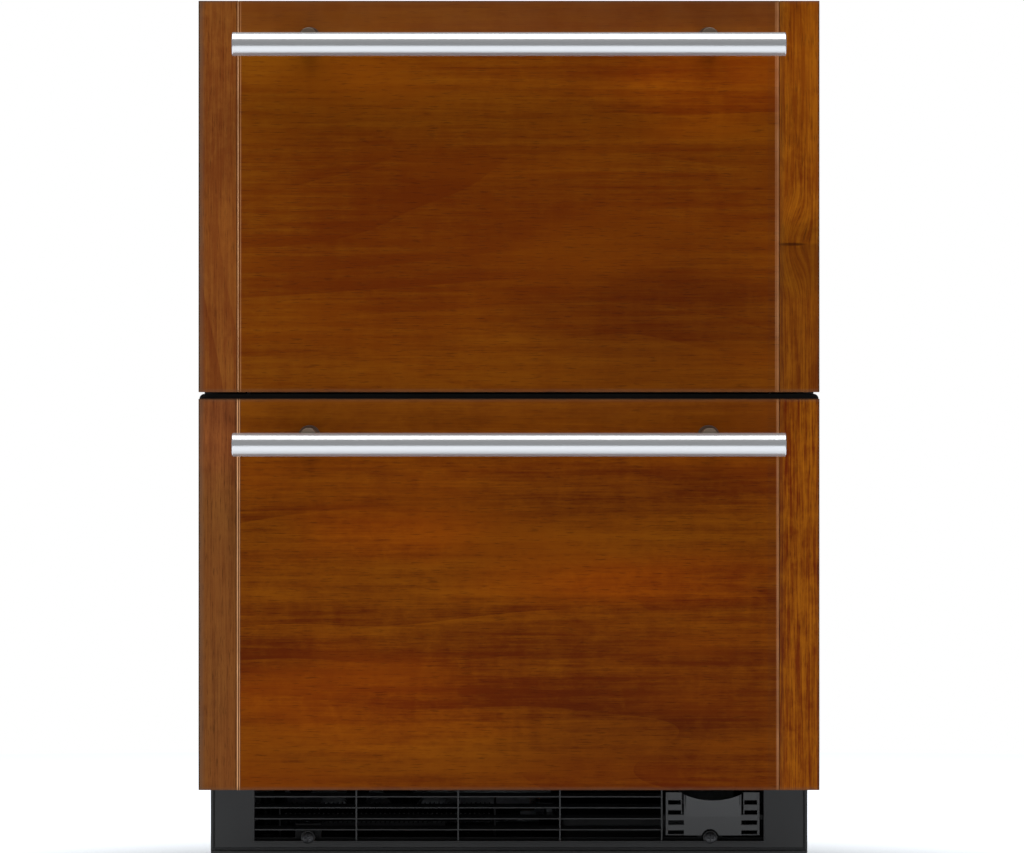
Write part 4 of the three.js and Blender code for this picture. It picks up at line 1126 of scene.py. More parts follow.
UPPER_PANEL = Wood(
    "Cherry panel upper", "cherry_panel", (0.203, 0.0545, 0.0012), 0.42, (0.120, 0.0190, 0.0003),
    (0.200, 0.0450, 0.0004), Grain.ALONG_X, (0.3, 1.2, 0.0), 26.0, 0.42, None, 0.42, (
        Patch(195, 780, 130, 75, (1.45, 1.35, 1.0)),
        Patch(150, 550, 210, 120, (0.74, 0.68, 0.80)),
        Patch(-262, 650, 100, 300, (1.14, 1.28, 2.0)),
    ))
LOWER_PANEL = Wood(
    "Cherry panel lower", "cherry_panel", (0.214, 0.0560, 0.0010), 0.42, (0.094, 0.0130, 0.0002),
    (0.205, 0.0430, 0.0003), Grain.ALONG_X, (1.9, 0.4, 0.0), 22.0, 0.44, None, 0.54, (
        Patch(-130, 345, 130, 40, (1.30, 1.15, 0.9)),
        Patch(110, 295, 190, 40, (1.25, 1.00, 0.4)),
        Patch(-145, 185, 230, 75, (1.36, 1.30, 1.0)),
        Patch(125, 145, 220, 60, (0.76, 0.68, 0.8)),
        Patch(80, 388, 170, 50, (0.80, 0.74, 0.8)),
    ))
STILES = {
    "upper_stile_left": Wood(
        "Cherry stile upper left", "cherry_stile", (0.285, 0.0960, 0.0150), 0.42, (0.152, 0.0340, 0.0056),
        (0.270, 0.0750, 0.0110), Grain.ALONG_Z, (0.8, 2.3, 0.1), 55.0, 0.7, None, 0.6),
    "upper_stile_right": Wood(
        "Cherry stile upper right", "cherry_stile", (0.345, 0.1080, 0.0042), 0.42, (0.118, 0.0155, 0.0008),
        (0.300, 0.0740, 0.0020), Grain.ALONG_Z, (2.6, 0.9, 0.3), 60.0, 1.6, (274.5, -280.0, 626.5), 0.8,
        (Patch(282, 635, 60, 34, (0.72, 0.71, 0.6)), Patch(282, 598, 70, 34, (0.86, 0.88, 0.8)))),
    "lower_stile_left": Wood(
        "Cherry stile lower left", "cherry_stile", (0.210, 0.0720, 0.0140), 0.42, (0.084, 0.0195, 0.0046),
        (0.195, 0.0560, 0.0105), Grain.ALONG_Z, (3.7, 1.6, 0.2), 50.0, 0.9, None, 0.5,
        (Patch(-282, 450, 80, 85, (1.26, 1.12, 1.35)),)),
    "lower_stile_right": Wood(
        "Cherry stile lower right", "cherry_stile", (0.320, 0.0950, 0.0030), 0.42, (0.116, 0.0140, 0.0007),
        (0.285, 0.0650, 0.0015), Grain.ALONG_Z, (4.4, 0.2, 0.5), 58.0, 1.5, None, 0.8),
}

HANDLE_STEEL = Metal("Brushed bar steel", "handle_steel", (0.57, 0.575, 0.585), 0.2, Grain.ALONG_X,
                     0.0008, 0.05, (0.5, 0.51, 0.53), 0.03, 0.70)
# The posts' steel is tinted warm grey-brown: a painted reflection of the wood, with painted shade.
POST_STEEL_PAINTED_REFLECTION = Metal("Post steel with painted reflection", "handle_steel", (0.225, 0.162, 0.115), 0.45, Grain.ALONG_Y,
                   0.004, 0.1, (0.3, 0.22, 0.16))
# A dark ring a little larger than each post, put behind it where only shade falls: painted shadow.
POST_PAINTED_SHADOW_RING = Moulded("Post ring of painted shadow", "core_plastic", (0.062, 0.027, 0.010), 0.75, 900.0, 0.01)
ZINC = Metal("Zinc plated steel", "zinc_steel", (0.60, 0.62, 0.64), 0.32, Grain.ALONG_Y, 0.004, 0.35)
GALVANISED = Metal("Galvanised sheet", "galvanised_steel", (0.50, 0.51, 0.52), 0.42, Grain.ALONG_Z,
                   0.004, 0.8, (0.32, 0.33, 0.35))
COPPER = Metal("Copper tube", "copper_tube", (0.62, 0.30, 0.17), 0.28, Grain.ALONG_X, 0.003, 0.5,
               (0.32, 0.14, 0.09))
COIL = Metal("Coil aluminium", "coil_aluminium", (0.66, 0.67, 0.68), 0.33, Grain.ALONG_Z)
MOTOR = Metal("Motor housing", "motor_metal", (0.30, 0.31, 0.32), 0.4, Grain.ALONG_Y, 0.006, 0.4,
              (0.2, 0.2, 0.21))
SCREW = Metal("Black screw", "screw_steel", (0.006, 0.006, 0.0065), 0.42, Grain.ALONG_X)
# The legs' steel is darkened as painted shade behind the grille.
LEG_SHADE_STEEL = Metal("Leg steel darkened as painted shade", "screw_steel", (0.022, 0.022, 0.024), 0.42, Grain.ALONG_Z,
                  0.006, 0.3, (0.04, 0.038, 0.035))
KICK = Moulded("Toe kick plastic", "kick_plastic", (0.0133, 0.0133, 0.0135), 0.5, 700.0, 0.02, 0.03)
# A lighter copy of the kick's plastic for louvre noses and upright fronts: painted highlight.
NOSE_HIGHLIGHT = Moulded("Louvre edge plastic with painted highlight", "kick_plastic", (0.0370, 0.0370, 0.0375), 0.5, 700.0, 0.02)
# A darker copy of the kick's plastic for parts inside the grille: painted shade.
BLADE_SHADE = Moulded("Louvre plastic with painted shade", "kick_plastic", (0.0050, 0.0050, 0.0053), 0.6, 700.0, 0.02)
# Near-black strips laid in the kick's creases: painted shadow.
CREASE_SHADOW = Moulded("Crease painted shadow", "kick_plastic", (0.0040, 0.0040, 0.0042), 0.6, 700.0, 0.02)
CONTROL = Moulded("Control housing plastic", "kick_plastic", (0.040, 0.041, 0.043), 0.42, 800.0, 0.02)
COVER = Moulded("Access cover plastic", "cover_plastic", (0.047, 0.047, 0.0475), 0.40, 700.0, 0.02, 0.03)
KEY = Moulded("Key plastic", "cover_plastic", (0.16, 0.165, 0.17), 0.38, 1200.0, 0.01)
CORE = Moulded("Door core plastic", "core_plastic", (0.0065, 0.0065, 0.0070), 0.45, 500.0, 0.02)
SEAL = Moulded("Seal rubber", "gasket_rubber", (0.012, 0.012, 0.013), 0.7, 1500.0, 0.01)
LINER = Moulded("Liner plastic", "white_plastic", (0.78, 0.79, 0.80), 0.3, 260.0, 0.012)
BIN = Moulded("Bin plastic", "bin_plastic", (0.80, 0.83, 0.86), 0.16, 220.0, 0.008, 0.0, 0.55)
FAN = Moulded("Fan plastic", "fan_plastic", (0.020, 0.021, 0.023), 0.4, 900.0, 0.015, 0.25)
DRAIN = Moulded("Drain pan plastic", "fan_plastic", (0.0040, 0.0040, 0.0043), 0.55, 900.0, 0.015)
FOOT = Moulded("Bushing rubber", "foot_rubber", (0.016, 0.016, 0.017), 0.75, 1200.0, 0.02)
DISPLAY = Moulded("Display window", "kick_plastic", (0.004, 0.004, 0.006), 0.08, 300.0, 0.0005)
YELLOW_FOAM = Foam("Insulation foam", "insulation_foam", (0.70, 0.58, 0.33), 0.9)
LAMP = Lens("Lamp lens", "white_plastic", (1.0, 0.97, 0.90), 0.4)
COMPRESSOR_PAINT = Painted("Compressor paint", "compressor_paint", (0.010, 0.010, 0.011), 0.25, 0.08, 0.12)
# Black paint as condensers have, darkened further and made less glossy as painted shade behind the grille.
CONDENSER_PAINT_AND_SHADE = Painted("Condenser paint darkened as painted shade", "black_paint", (0.0050, 0.0050, 0.0055), 0.45, 0.03, 0.05, 0.2)
CABINET_PAINT = Painted("Cabinet paint", "black_paint", (0.014, 0.014, 0.015), 0.38, 0.03, 0.02)
# Black paint, made darker and less glossy than the cabinet's as painted shade behind the grille.
BASE_PAINT_AND_SHADE = Painted("Base paint darkened as painted shade", "black_paint", (0.0055, 0.0055, 0.0060), 0.5, 0.05, 0.03, 0.18)


# ------------ placing pieces

SIDES = ("left", "right")
CREASE = 35.0  # edges sharper than this many degrees stay sharp
WELD = 0.004  # corners nearer than this are one
FLAT = 1.0  # facets that meet at fewer degrees are one face


class Workshop:
    """Puts finished pieces into the scene, on the bodies of the frame."""

    def __init__(self, frame: dict) -> None:
        """Keeps the frame and finds out which body carries each node.
        """
        self.nodes: dict[str, bpy.types.Object] = frame["nodes"]
        bodies = frame["record"]["behaviour"]["bodies"]
        self.body_of = {node: body for body, members in bodies.items() for node in members}
        hinges = [joint for joint in frame["joints"] if joint["type"] == "hinge"]
        self.axis_of = {joint["child"]: np.array(joint["pos_m"]) / MM for joint in hinges}
        self.count = 0

    def box(self, node: str) -> Array:
        """Lowest and highest corner of a node."""
        return np.array(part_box(node)) / MM

    def middle(self, node: str) -> Array:
        """Middle of a node's box."""
        return self.box(node).mean(axis=0)

    def make(
        self, name: str, surface: Surface, finish: Finish, node: str, crease: float = CREASE,
        extra: bool = False,
    ) -> None:
        """Makes a piece from a surface and lets it ride with a node's body.

        Args:
            name: Name of the piece.
            surface: Its surface, in place.
            finish: What it is dressed in.
            node: The frame node whose body carries it.
            crease: Edges sharper than this many degrees stay sharp.
            extra: Whether it is one more piece; if not, it stands for the node.
        """
        mesh = bpy.data.meshes.new(name)
        faces = [face for array in surface.faces for face in array.tolist()]
        mesh.from_pydata((surface.points * MM).tolist(), [], faces)
        drawn = bmesh.new()
        drawn.from_mesh(mesh)
        bmesh.ops.recalc_face_normals(drawn, faces=drawn.faces)
        drawn.to_mesh(mesh)
        drawn.free()
        self.finish_piece(name, mesh, finish, node, crease, extra)

    def soften(self, node: str, finish: Finish, width: float = 0.4, segments: int = 2) -> None:
        """Stands a copy of a node with rounded edges in its place.

        Args:
            node: The frame node.
            finish: What it is dressed in.
            width: Width of the rounded edges.
            segments: Steps across each rounded edge.
        """
        mesh = self.nodes[node].data.copy()
        drawn = bmesh.new()
        drawn.from_mesh(mesh)
        bmesh.ops.remove_doubles(drawn, verts=drawn.verts, dist=WELD * MM)
        bmesh.ops.dissolve_limit(
            drawn, angle_limit=math.radians(FLAT), verts=drawn.verts, edges=drawn.edges
        )
        drawn.to_mesh(mesh)
        drawn.free()
        made = self.finish_piece(node + "_form", mesh, finish, node, CREASE, False)
        rounded = made.modifiers.new("Rounded edges", "BEVEL")
        rounded.width = width * MM
        rounded.segments = segments
        rounded.limit_method = "ANGLE"
        rounded.angle_limit = math.radians(CREASE)
        rounded.use_clamp_overlap = False
        made.modifiers.move(1, 0)

    def finish_piece(
        self, name: str, mesh: bpy.types.Mesh, finish: Finish, node: str, crease: float, extra: bool
    ) -> bpy.types.Object:
        """Dresses a mesh, shades it and puts it on its body.

        Args:
            name: Name of the piece.
            mesh: Its mesh, in place.
            finish: What it is dressed in.
            node: The frame node whose body carries it.
            crease: Edges sharper than this many degrees stay sharp.
            extra: Whether it is one more piece; if not, it stands for the node.

        Returns:
            The object.
        """
        mesh.materials.clear()
        mesh.materials.append(finish.material())
        mesh.polygons.foreach_set("use_smooth", np.ones(len(mesh.polygons), bool))
        mesh.set_sharp_from_angle(angle=math.radians(crease))
        mesh.update()
        piece = bpy.data.objects.new(name, mesh)
        bpy.context.scene.collection.objects.link(piece)
        piece.modifiers.new("Even shading", "WEIGHTED_NORMAL").keep_sharp = True
        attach(piece, self.body_of[node])
        if not extra:
            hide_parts(node)
        self.count += 1
        LOG.info("%s: %d faces, %s", name, len(mesh.polygons), finish.name)
        return piece

    def dress(self, finish: Finish, node: str) -> None:
        """Gives a node that is carried over a finish.

        Args:
            finish: The finish.
            node: The frame node.
        """
        materials = self.nodes[node].data.materials
        materials.clear()
        materials.append(finish.material())
        LOG.info("%s: carried over, %s", node, finish.name)


@dataclass
class Assembly:
    """A part of the scene that is made as one.

    Args:
        shop: Places its pieces.
    """

    shop: Workshop

    def build(self) -> None:
        """Makes every piece of it."""
        raise NotImplementedError


# ------------ drawers


@dataclass
class DrawerFront(Assembly):
    """Wood front, black core, seal and bar pull of one drawer.

    Args:
        prefix: "upper_" or "lower_".
        panel: Finish of its middle board.
        edge: Radius of the boards' front edges.
        core_corner: Radius of the core's upper corners.
        gap: Running gap before and behind the seal.
        dome: Radius of the bar's rounded ends.
        slim: How much slimmer a post is than its ring.
        seal_profile: (inset, depth) points of the seal, inset from the wood's outline and depth from
            the cabinet's front plane.
    """

    prefix: str
    panel: Wood
    edge: float = 0.9
    core_corner: float = 5.0
    gap: float = 0.25
    dome: float = 1.1
    # slim: How much slimmer a post is than the dark ring of painted shadow behind it.
    slim: float = 2.4
    seal_profile: tuple = (
        (8, -10.75), (22, -10.75), (22, -8.9), (19.4, -8.3), (18.3, -7.0), (18.3, -6.2), (19.6, -5.2),
        (20.4, -4.5), (21, -3.8), (21, -0.7), (20.6, -0.25), (9.4, -0.25), (9, -0.7), (9, -3.8),
        (9.6, -4.5), (10.4, -5.2), (11.7, -6.2), (11.7, -7.0), (10.6, -8.3), (8, -8.9),
    )

    def build(self) -> None:
        """Makes every piece of the front."""
        self.boards()
        self.core()
        self.seal()
        self.pull()

    def boards(self) -> None:
        """Three boards with softly rounded front edges, whose joints read as fine grooves."""
        for part in ("front_panel", "stile_left", "stile_right"):
            node = self.prefix + part
            low, high = self.shop.box(node)
            bare = self.panel if part == "front_panel" else STILES[node]
            finish = replace(bare, stripes=tuple(self.stripes(part, low, high)))
            sides = (low[0], high[0], low[2], high[2])
            board = plate(sides, (high[1], low[1]), (0.5, 0.5), (0.2, self.edge))
            self.shop.make(node + "_board", board, finish, node)

    def stripes(self, part: str, low: Array, high: Array) -> Iterable[Stripe]:
        """Bands along a board's outer edges and along its joints.

        Each outer edge takes a greyish painted sheen over a few millimetres and painted shade on its
        last one. A joint shows the edges of both boards as fine light lines of painted highlight,
        beside painted shade. Each middle board has a lighter band of painted sheen along its top, and
        the lower one grows darker towards its bottom.

        Args:
            part: Which board.
            low: Its lowest corner.
            high: Its highest corner.

        Yields:
            The bands, the widest first.
        """
        upper = self.prefix == "upper_"
        # Colours of the painted sheen, painted shade and painted highlight that the stripes lay on the
        # boards.
        edge_sheen, shade, joint_highlight = (0.135, 0.072, 0.040), (0.045, 0.022, 0.010), (0.80, 0.42, 0.20)
        left, _, bottom = low.tolist()
        right, _, top = high.tolist()
        if part == "front_panel":
            # First a lighter band of painted sheen along the top of the middle board; the lower board also
            # grows darker towards its bottom.
            if upper:
                yield Stripe(2, top, 26, 14, 0.36, (0.245, 0.086, 0.020))
                yield Stripe(0, left + 1.6, 0.35, 0.35, 0.22, joint_highlight)
                yield Stripe(0, left + 0.2, 0.3, 0.4, 0.3, shade)
            else:
                yield Stripe(2, top, 26, 14, 0.24, (0.310, 0.090, 0.006))
                yield Stripe(2, bottom, 8, 34, 0.22, (0.100, 0.006, 0.0))
                yield Stripe(0, left + 0.5, 0.35, 0.35, 0.58, joint_highlight)
                yield Stripe(0, left + 1.6, 0.3, 0.4, 0.3, shade)
            yield Stripe(0, right - 1.0, 0.6, 1.9, 0.25, joint_highlight)
            yield Stripe(0, right - 7.5, 3.0, 1.0, 0.10, shade)
            if upper:
                yield Stripe(0, right - 3.4, 0.3, 0.5, 0.16, joint_highlight)
        elif part == "stile_left":
            # The outer edge: painted sheen over a few millimetres, then painted shade on the last one.
            yield Stripe(0, left, 1.0, 6.5, 0.72, edge_sheen)
            yield Stripe(0, left, 1.0, 0.5, 0.85, shade)
            line = right - (0.3 if upper else 1.1)
            yield Stripe(0, line - 1.5, 0.35, 0.5, 0.55, shade)
            yield Stripe(0, line, 0.4, 0.35, 0.90 if upper else 0.72, joint_highlight)
        else:
            yield Stripe(0, left, 2.5, 3.5, 0.22, shade)
            yield Stripe(0, right, 0.5, 3.0, 0.15, edge_sheen)
            yield Stripe(0, right, 1.0, 0.5, 0.75, shade)
        # Top and bottom edges: painted sheen over a few millimetres, then painted shade on the last one,
        # whose share is dark.
        for edge, sheen_share, dark in ((top, 0.3, 0.7), (bottom, 0.4, 0.0 if upper else 0.2)):
            yield Stripe(2, edge, 0.8, 3.4, sheen_share, edge_sheen)
            yield Stripe(2, edge, 0.8, 0.5, dark, shade)

    def core(self) -> None:
        """Foam-filled core: a slab with rounded upper corners and its raised, dished back."""
        node = self.prefix + "door_core"
        low, high = self.shop.box(node)
        back = self.shop.box(self.prefix + "gasket")[0][1] - self.gap
        outline = (low[0], high[0], low[2], high[2])
        slab_form = plate(outline, (low[1], back), (0.8, self.core_corner), (0.6, 1.0))
        half = self.shop.box(self.prefix + "bin")[1][0] - 2
        sides = (-half, half, low[2] + 42, high[2] - 32)
        insets = np.array([0, 0, 1.2, 3.0, 18, 20, 22])
        depths = np.array([-2, 6, 8.6, 9.8, 9.8, 8.8, 8.2]) + back
        plinth = layered(rectangles(sides, (8, 8), insets), depths, Plane.FRONT)
        self.shop.make(node + "_slab", joined([slab_form, plinth]), CORE, node)

    def seal(self) -> None:
        """Seal ring: one closed profile carried round the front's outline."""
        node = self.prefix + "gasket"
        low = self.shop.box(self.prefix + "stile_left")[0]
        high = self.shop.box(self.prefix + "stile_right")[1]
        insets, depths = np.array(self.seal_profile).T
        rings = rectangles((low[0], high[0], low[2], high[2]), (13, 13), insets)
        plane = self.shop.box(node)[1][1] + self.gap
        self.shop.make(node + "_ring", layered(rings, depths + plane, Plane.FRONT, True), SEAL, node, 50)

    def pull(self) -> None:
        """Round bar with slightly domed ends, on two posts with round tops."""
        node = self.prefix + "handle_bar"
        low, high = self.shop.box(node)
        radius = (high[2] - low[2]) / 2
        turn = np.linspace(0, math.pi / 2, 6)
        rim = [radius - self.dome * (1 - np.sin(turn)), -self.dome * (1 - np.cos(turn)) - 0.5]
        crown = [[0.0, 0.0], [radius * 0.45, -0.08], [radius * 0.8, -0.3]]
        end = np.vstack([crown, np.transpose(rim)])
        profile = np.vstack([end * [1, -1] + [0, low[0]], end[::-1] + [0, high[0]]])
        bar = revolved(profile, Plane.SIDE, self.shop.middle(node)[1:], 96)
        self.shop.make(node + "_round", bar, HANDLE_STEEL, node, 40)
        for side in SIDES:
            node = self.prefix + "handle_post_" + side
            low, high = self.shop.box(node)
            half, back, slim = (high[0] - low[0]) / 2, high[1] + 0.2, self.slim
            sides = (low[0] + slim, high[0] - slim, low[2], high[2] - slim)
            body = plate(sides, (back, low[1]), (2, half - slim - LEAST), (0.1, 0.25), steps=12)
            # A dark ring behind the post, a little larger than it, stands for the shadow round it: painted
            # shadow.
            sides = (low[0] - 0.4, high[0] + 0.4, low[2], high[2] + 0.4)
            ring = plate(sides, (back, back - 2), (4, half + 0.3), (0.1, 0.3), steps=12)
            # The standoff's steel carries a painted reflection of the wood.
            self.shop.make(node + "_standoff", body, POST_STEEL_PAINTED_REFLECTION, node, 40)
            self.shop.make(node + "_ring", ring, POST_PAINTED_SHADOW_RING, node, extra=True)


@dataclass
class DrawerBox(Assembly):
    """Bin and slides of one drawer.

    Args:
        prefix: "upper_" or "lower_".
    """

    prefix: str

    def build(self) -> None:
        """Makes the bin and the rails."""
        self.bin()
        for side in SIDES:
            for member in ("fixed", "mid", "inner"):
                self.shop.soften(f"{self.prefix}slide_{member}_{side}", ZINC, 0.35)
            self.latch(side)

    def bin(self) -> None:
        """The upper bin is one tub; the lower one keeps its stepped form with soft edges."""
        node = self.prefix + "bin"
        if self.prefix == "upper_":
            self.shop.make(node + "_tub", tray(self.shop.box(node), 3, 14, 1.2), BIN, node)
        else:
            self.shop.soften(node, BIN, 1.2, 3)

    def latch(self, side: str) -> None:
        """Plastic release tab at the front of a fixed rail.

        Args:
            side: "left" or "right".
        """
        node = self.prefix + "slide_fixed_" + side
        low, high = self.shop.box(node)
        web, inward = (low[0], 1) if side == "left" else (high[0], -1)
        middle = (low[2] + high[2]) / 2
        sides = (low[1] + 4, low[1] + 26, middle - 7, middle + 7)
        thickness = sorted((web + inward * 1.6, web + inward * 2.1))
        tab = plate(sides, thickness, (2, 2), (0.1, 0.2), Plane.SIDE)
        self.shop.make(node + "_tab", tab, KEY, node, extra=True)


# ------------ cabinet


@dataclass
class Cabinet(Assembly):
    """Steel wrap, back panel, liner, channel between the openings, foam and bushing.

    Args:
        bead: How far the pressed beads of the back panel stand out.
        bead_reach: Half the width and height of the ring that they make.
        bead_corner: Radius of its corners.
        bead_half: Half the width of a bead.
        screw_spacing: Distance between the back panel's screws.
        vent: Half the width, the height and the rise of an air hood.
    """

    bead: float = 1.6
    bead_reach: tuple = (210, 250)
    bead_corner: float = 30
    bead_half: float = 9
    screw_spacing: float = 150
    vent: tuple = (21, 7, 2.6)

    def build(self) -> None:
        """Makes every piece of the cabinet."""
        paint = CABINET_PAINT.worn_on(*self.shop.box("cabinet_shell"))
        self.shop.soften("cabinet_shell", paint, 0.5)
        self.shop.soften("front_mullion", paint, 0.5)
        self.shop.soften("inner_liner", LINER, 1.6, 3)
        self.shop.dress(YELLOW_FOAM, "insulation_foam")
        shoulder = self.shop.box("cabinet_shell")[0][2]
        self.back(shoulder)
        self.back_screws(shoulder)
        self.vents(shoulder)
        self.bushing()

    def back(self, shoulder: float) -> None:
        """Back panel: a sheet whose face is a height over x and z.

        The height is the bead's reach wherever the point lies within a few millimetres of a large
        rounded rectangle or of either diagonal inside it, blended with a smooth step.

        Args:
            shoulder: Height of the cabinet's underside.
        """
        low, high = self.shop.box("back_panel")
        columns = np.linspace(low[0] + 0.2, high[0] - 0.2, 161)
        rows = np.linspace(shoulder + 0.2, high[2] - 0.2, 211)
        x, z = np.meshgrid(columns, rows)
        up = z - (rows[0] + rows[-1]) / 2 - 40
        reach_x, reach_z = self.bead_reach
        over_x, over_z = np.abs(x) - reach_x + self.bead_corner, np.abs(up) - reach_z + self.bead_corner
        outside = np.hypot(np.maximum(over_x, 0), np.maximum(over_z, 0))
        outside += np.minimum(np.maximum(over_x, over_z), 0)
        slope = reach_z / reach_x
        cross = np.abs(np.abs(up) - slope * np.abs(x)) / math.hypot(1, slope)
        cross = np.where(outside < 8, cross, np.inf)
        gap = np.minimum(np.abs(outside - self.bead_corner), cross)
        step = np.clip(1 - gap / self.bead_half, 0, 1)
        lift = self.bead * step * step * (3 - 2 * step)
        face = np.stack([x, high[1] - 0.05 + lift, z], axis=-1)
        inner = np.stack([x, np.full_like(x, low[1] + 0.05), z], axis=-1)
        pan_low, pan_high = self.shop.box("base_pan")
        skirt = plate((pan_low[0], pan_high[0], low[2], shoulder + 0.1), (low[1] + 0.05, high[1] - 0.05),
                      rounding=(0.1, 0.3))
        self.shop.make("back_panel_sheet", joined([slab(inner, face), skirt]), GALVANISED, "back_panel", 60)

    def back_screws(self, shoulder: float) -> None:
        """Hexagon screws with washers along the back panel's edges.

        Args:
            shoulder: Height of the cabinet's underside.
        """
        low, high = self.shop.box("back_panel")
        washer = revolved([(0, 0), (5.2, 0), (5.2, 0.5), (4.4, 0.8), (0, 0.8)], Plane.FRONT, sides=24)
        head = revolved([(0, 0.8), (3.6, 0.8), (3.6, 2.2), (3.0, 2.7), (0, 2.7)], Plane.FRONT, sides=6)
        edge = 11
        rows = np.arange(shoulder + 30, high[2] - 20, self.screw_spacing)
        columns = np.linspace(low[0] + 80, high[0] - 80, 4)
        places = [(s * (high[0] - edge), high[1], z) for s in (-1, 1) for z in rows]
        places += [(x, high[1], z) for x in columns for z in (shoulder + edge, high[2] - edge)]
        screws = repeated(joined([washer, head]), np.array(places))
        self.shop.make("back_screws", screws, ZINC, "back_panel", extra=True)

    def vents(self, shoulder: float) -> None:
        """Pressed air hoods over the machine bay: half a flattened dome, open below.

        Args:
            shoulder: Height of the cabinet's underside.
        """
        back = self.shop.box("back_panel")[1][1]
        u, v = np.linspace(-1, 1, 15)[:, None], np.linspace(0, 1, 7)[None]
        width, height, rise = self.vent
        arch = np.sqrt(np.clip(1 - u**2, 0, 1))
        y = rise * np.sin(v * math.pi / 2) * arch
        outer = np.stack([width * u * np.ones_like(v), y + 0.02, height * (1 - v) * arch], axis=-1)
        hood = slab(outer - [0, 0.3, 0], outer)
        offsets = np.array([
            (side * 140 + column * 52, back, shoulder + 36 + row * 15)
            for side in (-1, 1) for column in (-1.5, -0.5, 0.5, 1.5) for row in range(4)
        ])
        self.shop.make("back_vents", repeated(hood, offsets), GALVANISED, "back_panel", 60, True)

    def bushing(self) -> None:
        """Snap-in bushing with a rounded flange, open through its middle."""
        node = "cord_gland"
        low, high = self.shop.box(node)
        x, _, z = self.shop.middle(node)
        flange = (high[0] - low[0]) / 2
        profile = [(4.5, -12), (10.5, -12), (12.5, -9.5), (12.5, -4.6), (10.8, -4.4), (10.8, -2.6),
                   (15.0, -2.6), (15.0, -1.4), (14.4, -0.5), (13.2, -0.1), (11.0, 0), (6.4, 0),
                   (5.2, -0.4), (4.6, -1.4)]
        rings = [(min(r, flange), high[1] + h) for r, h in profile]
        self.shop.make(node + "_bushing", revolved(rings, Plane.FRONT, (x, z), closed=True), FOOT, node)


# ------------ base


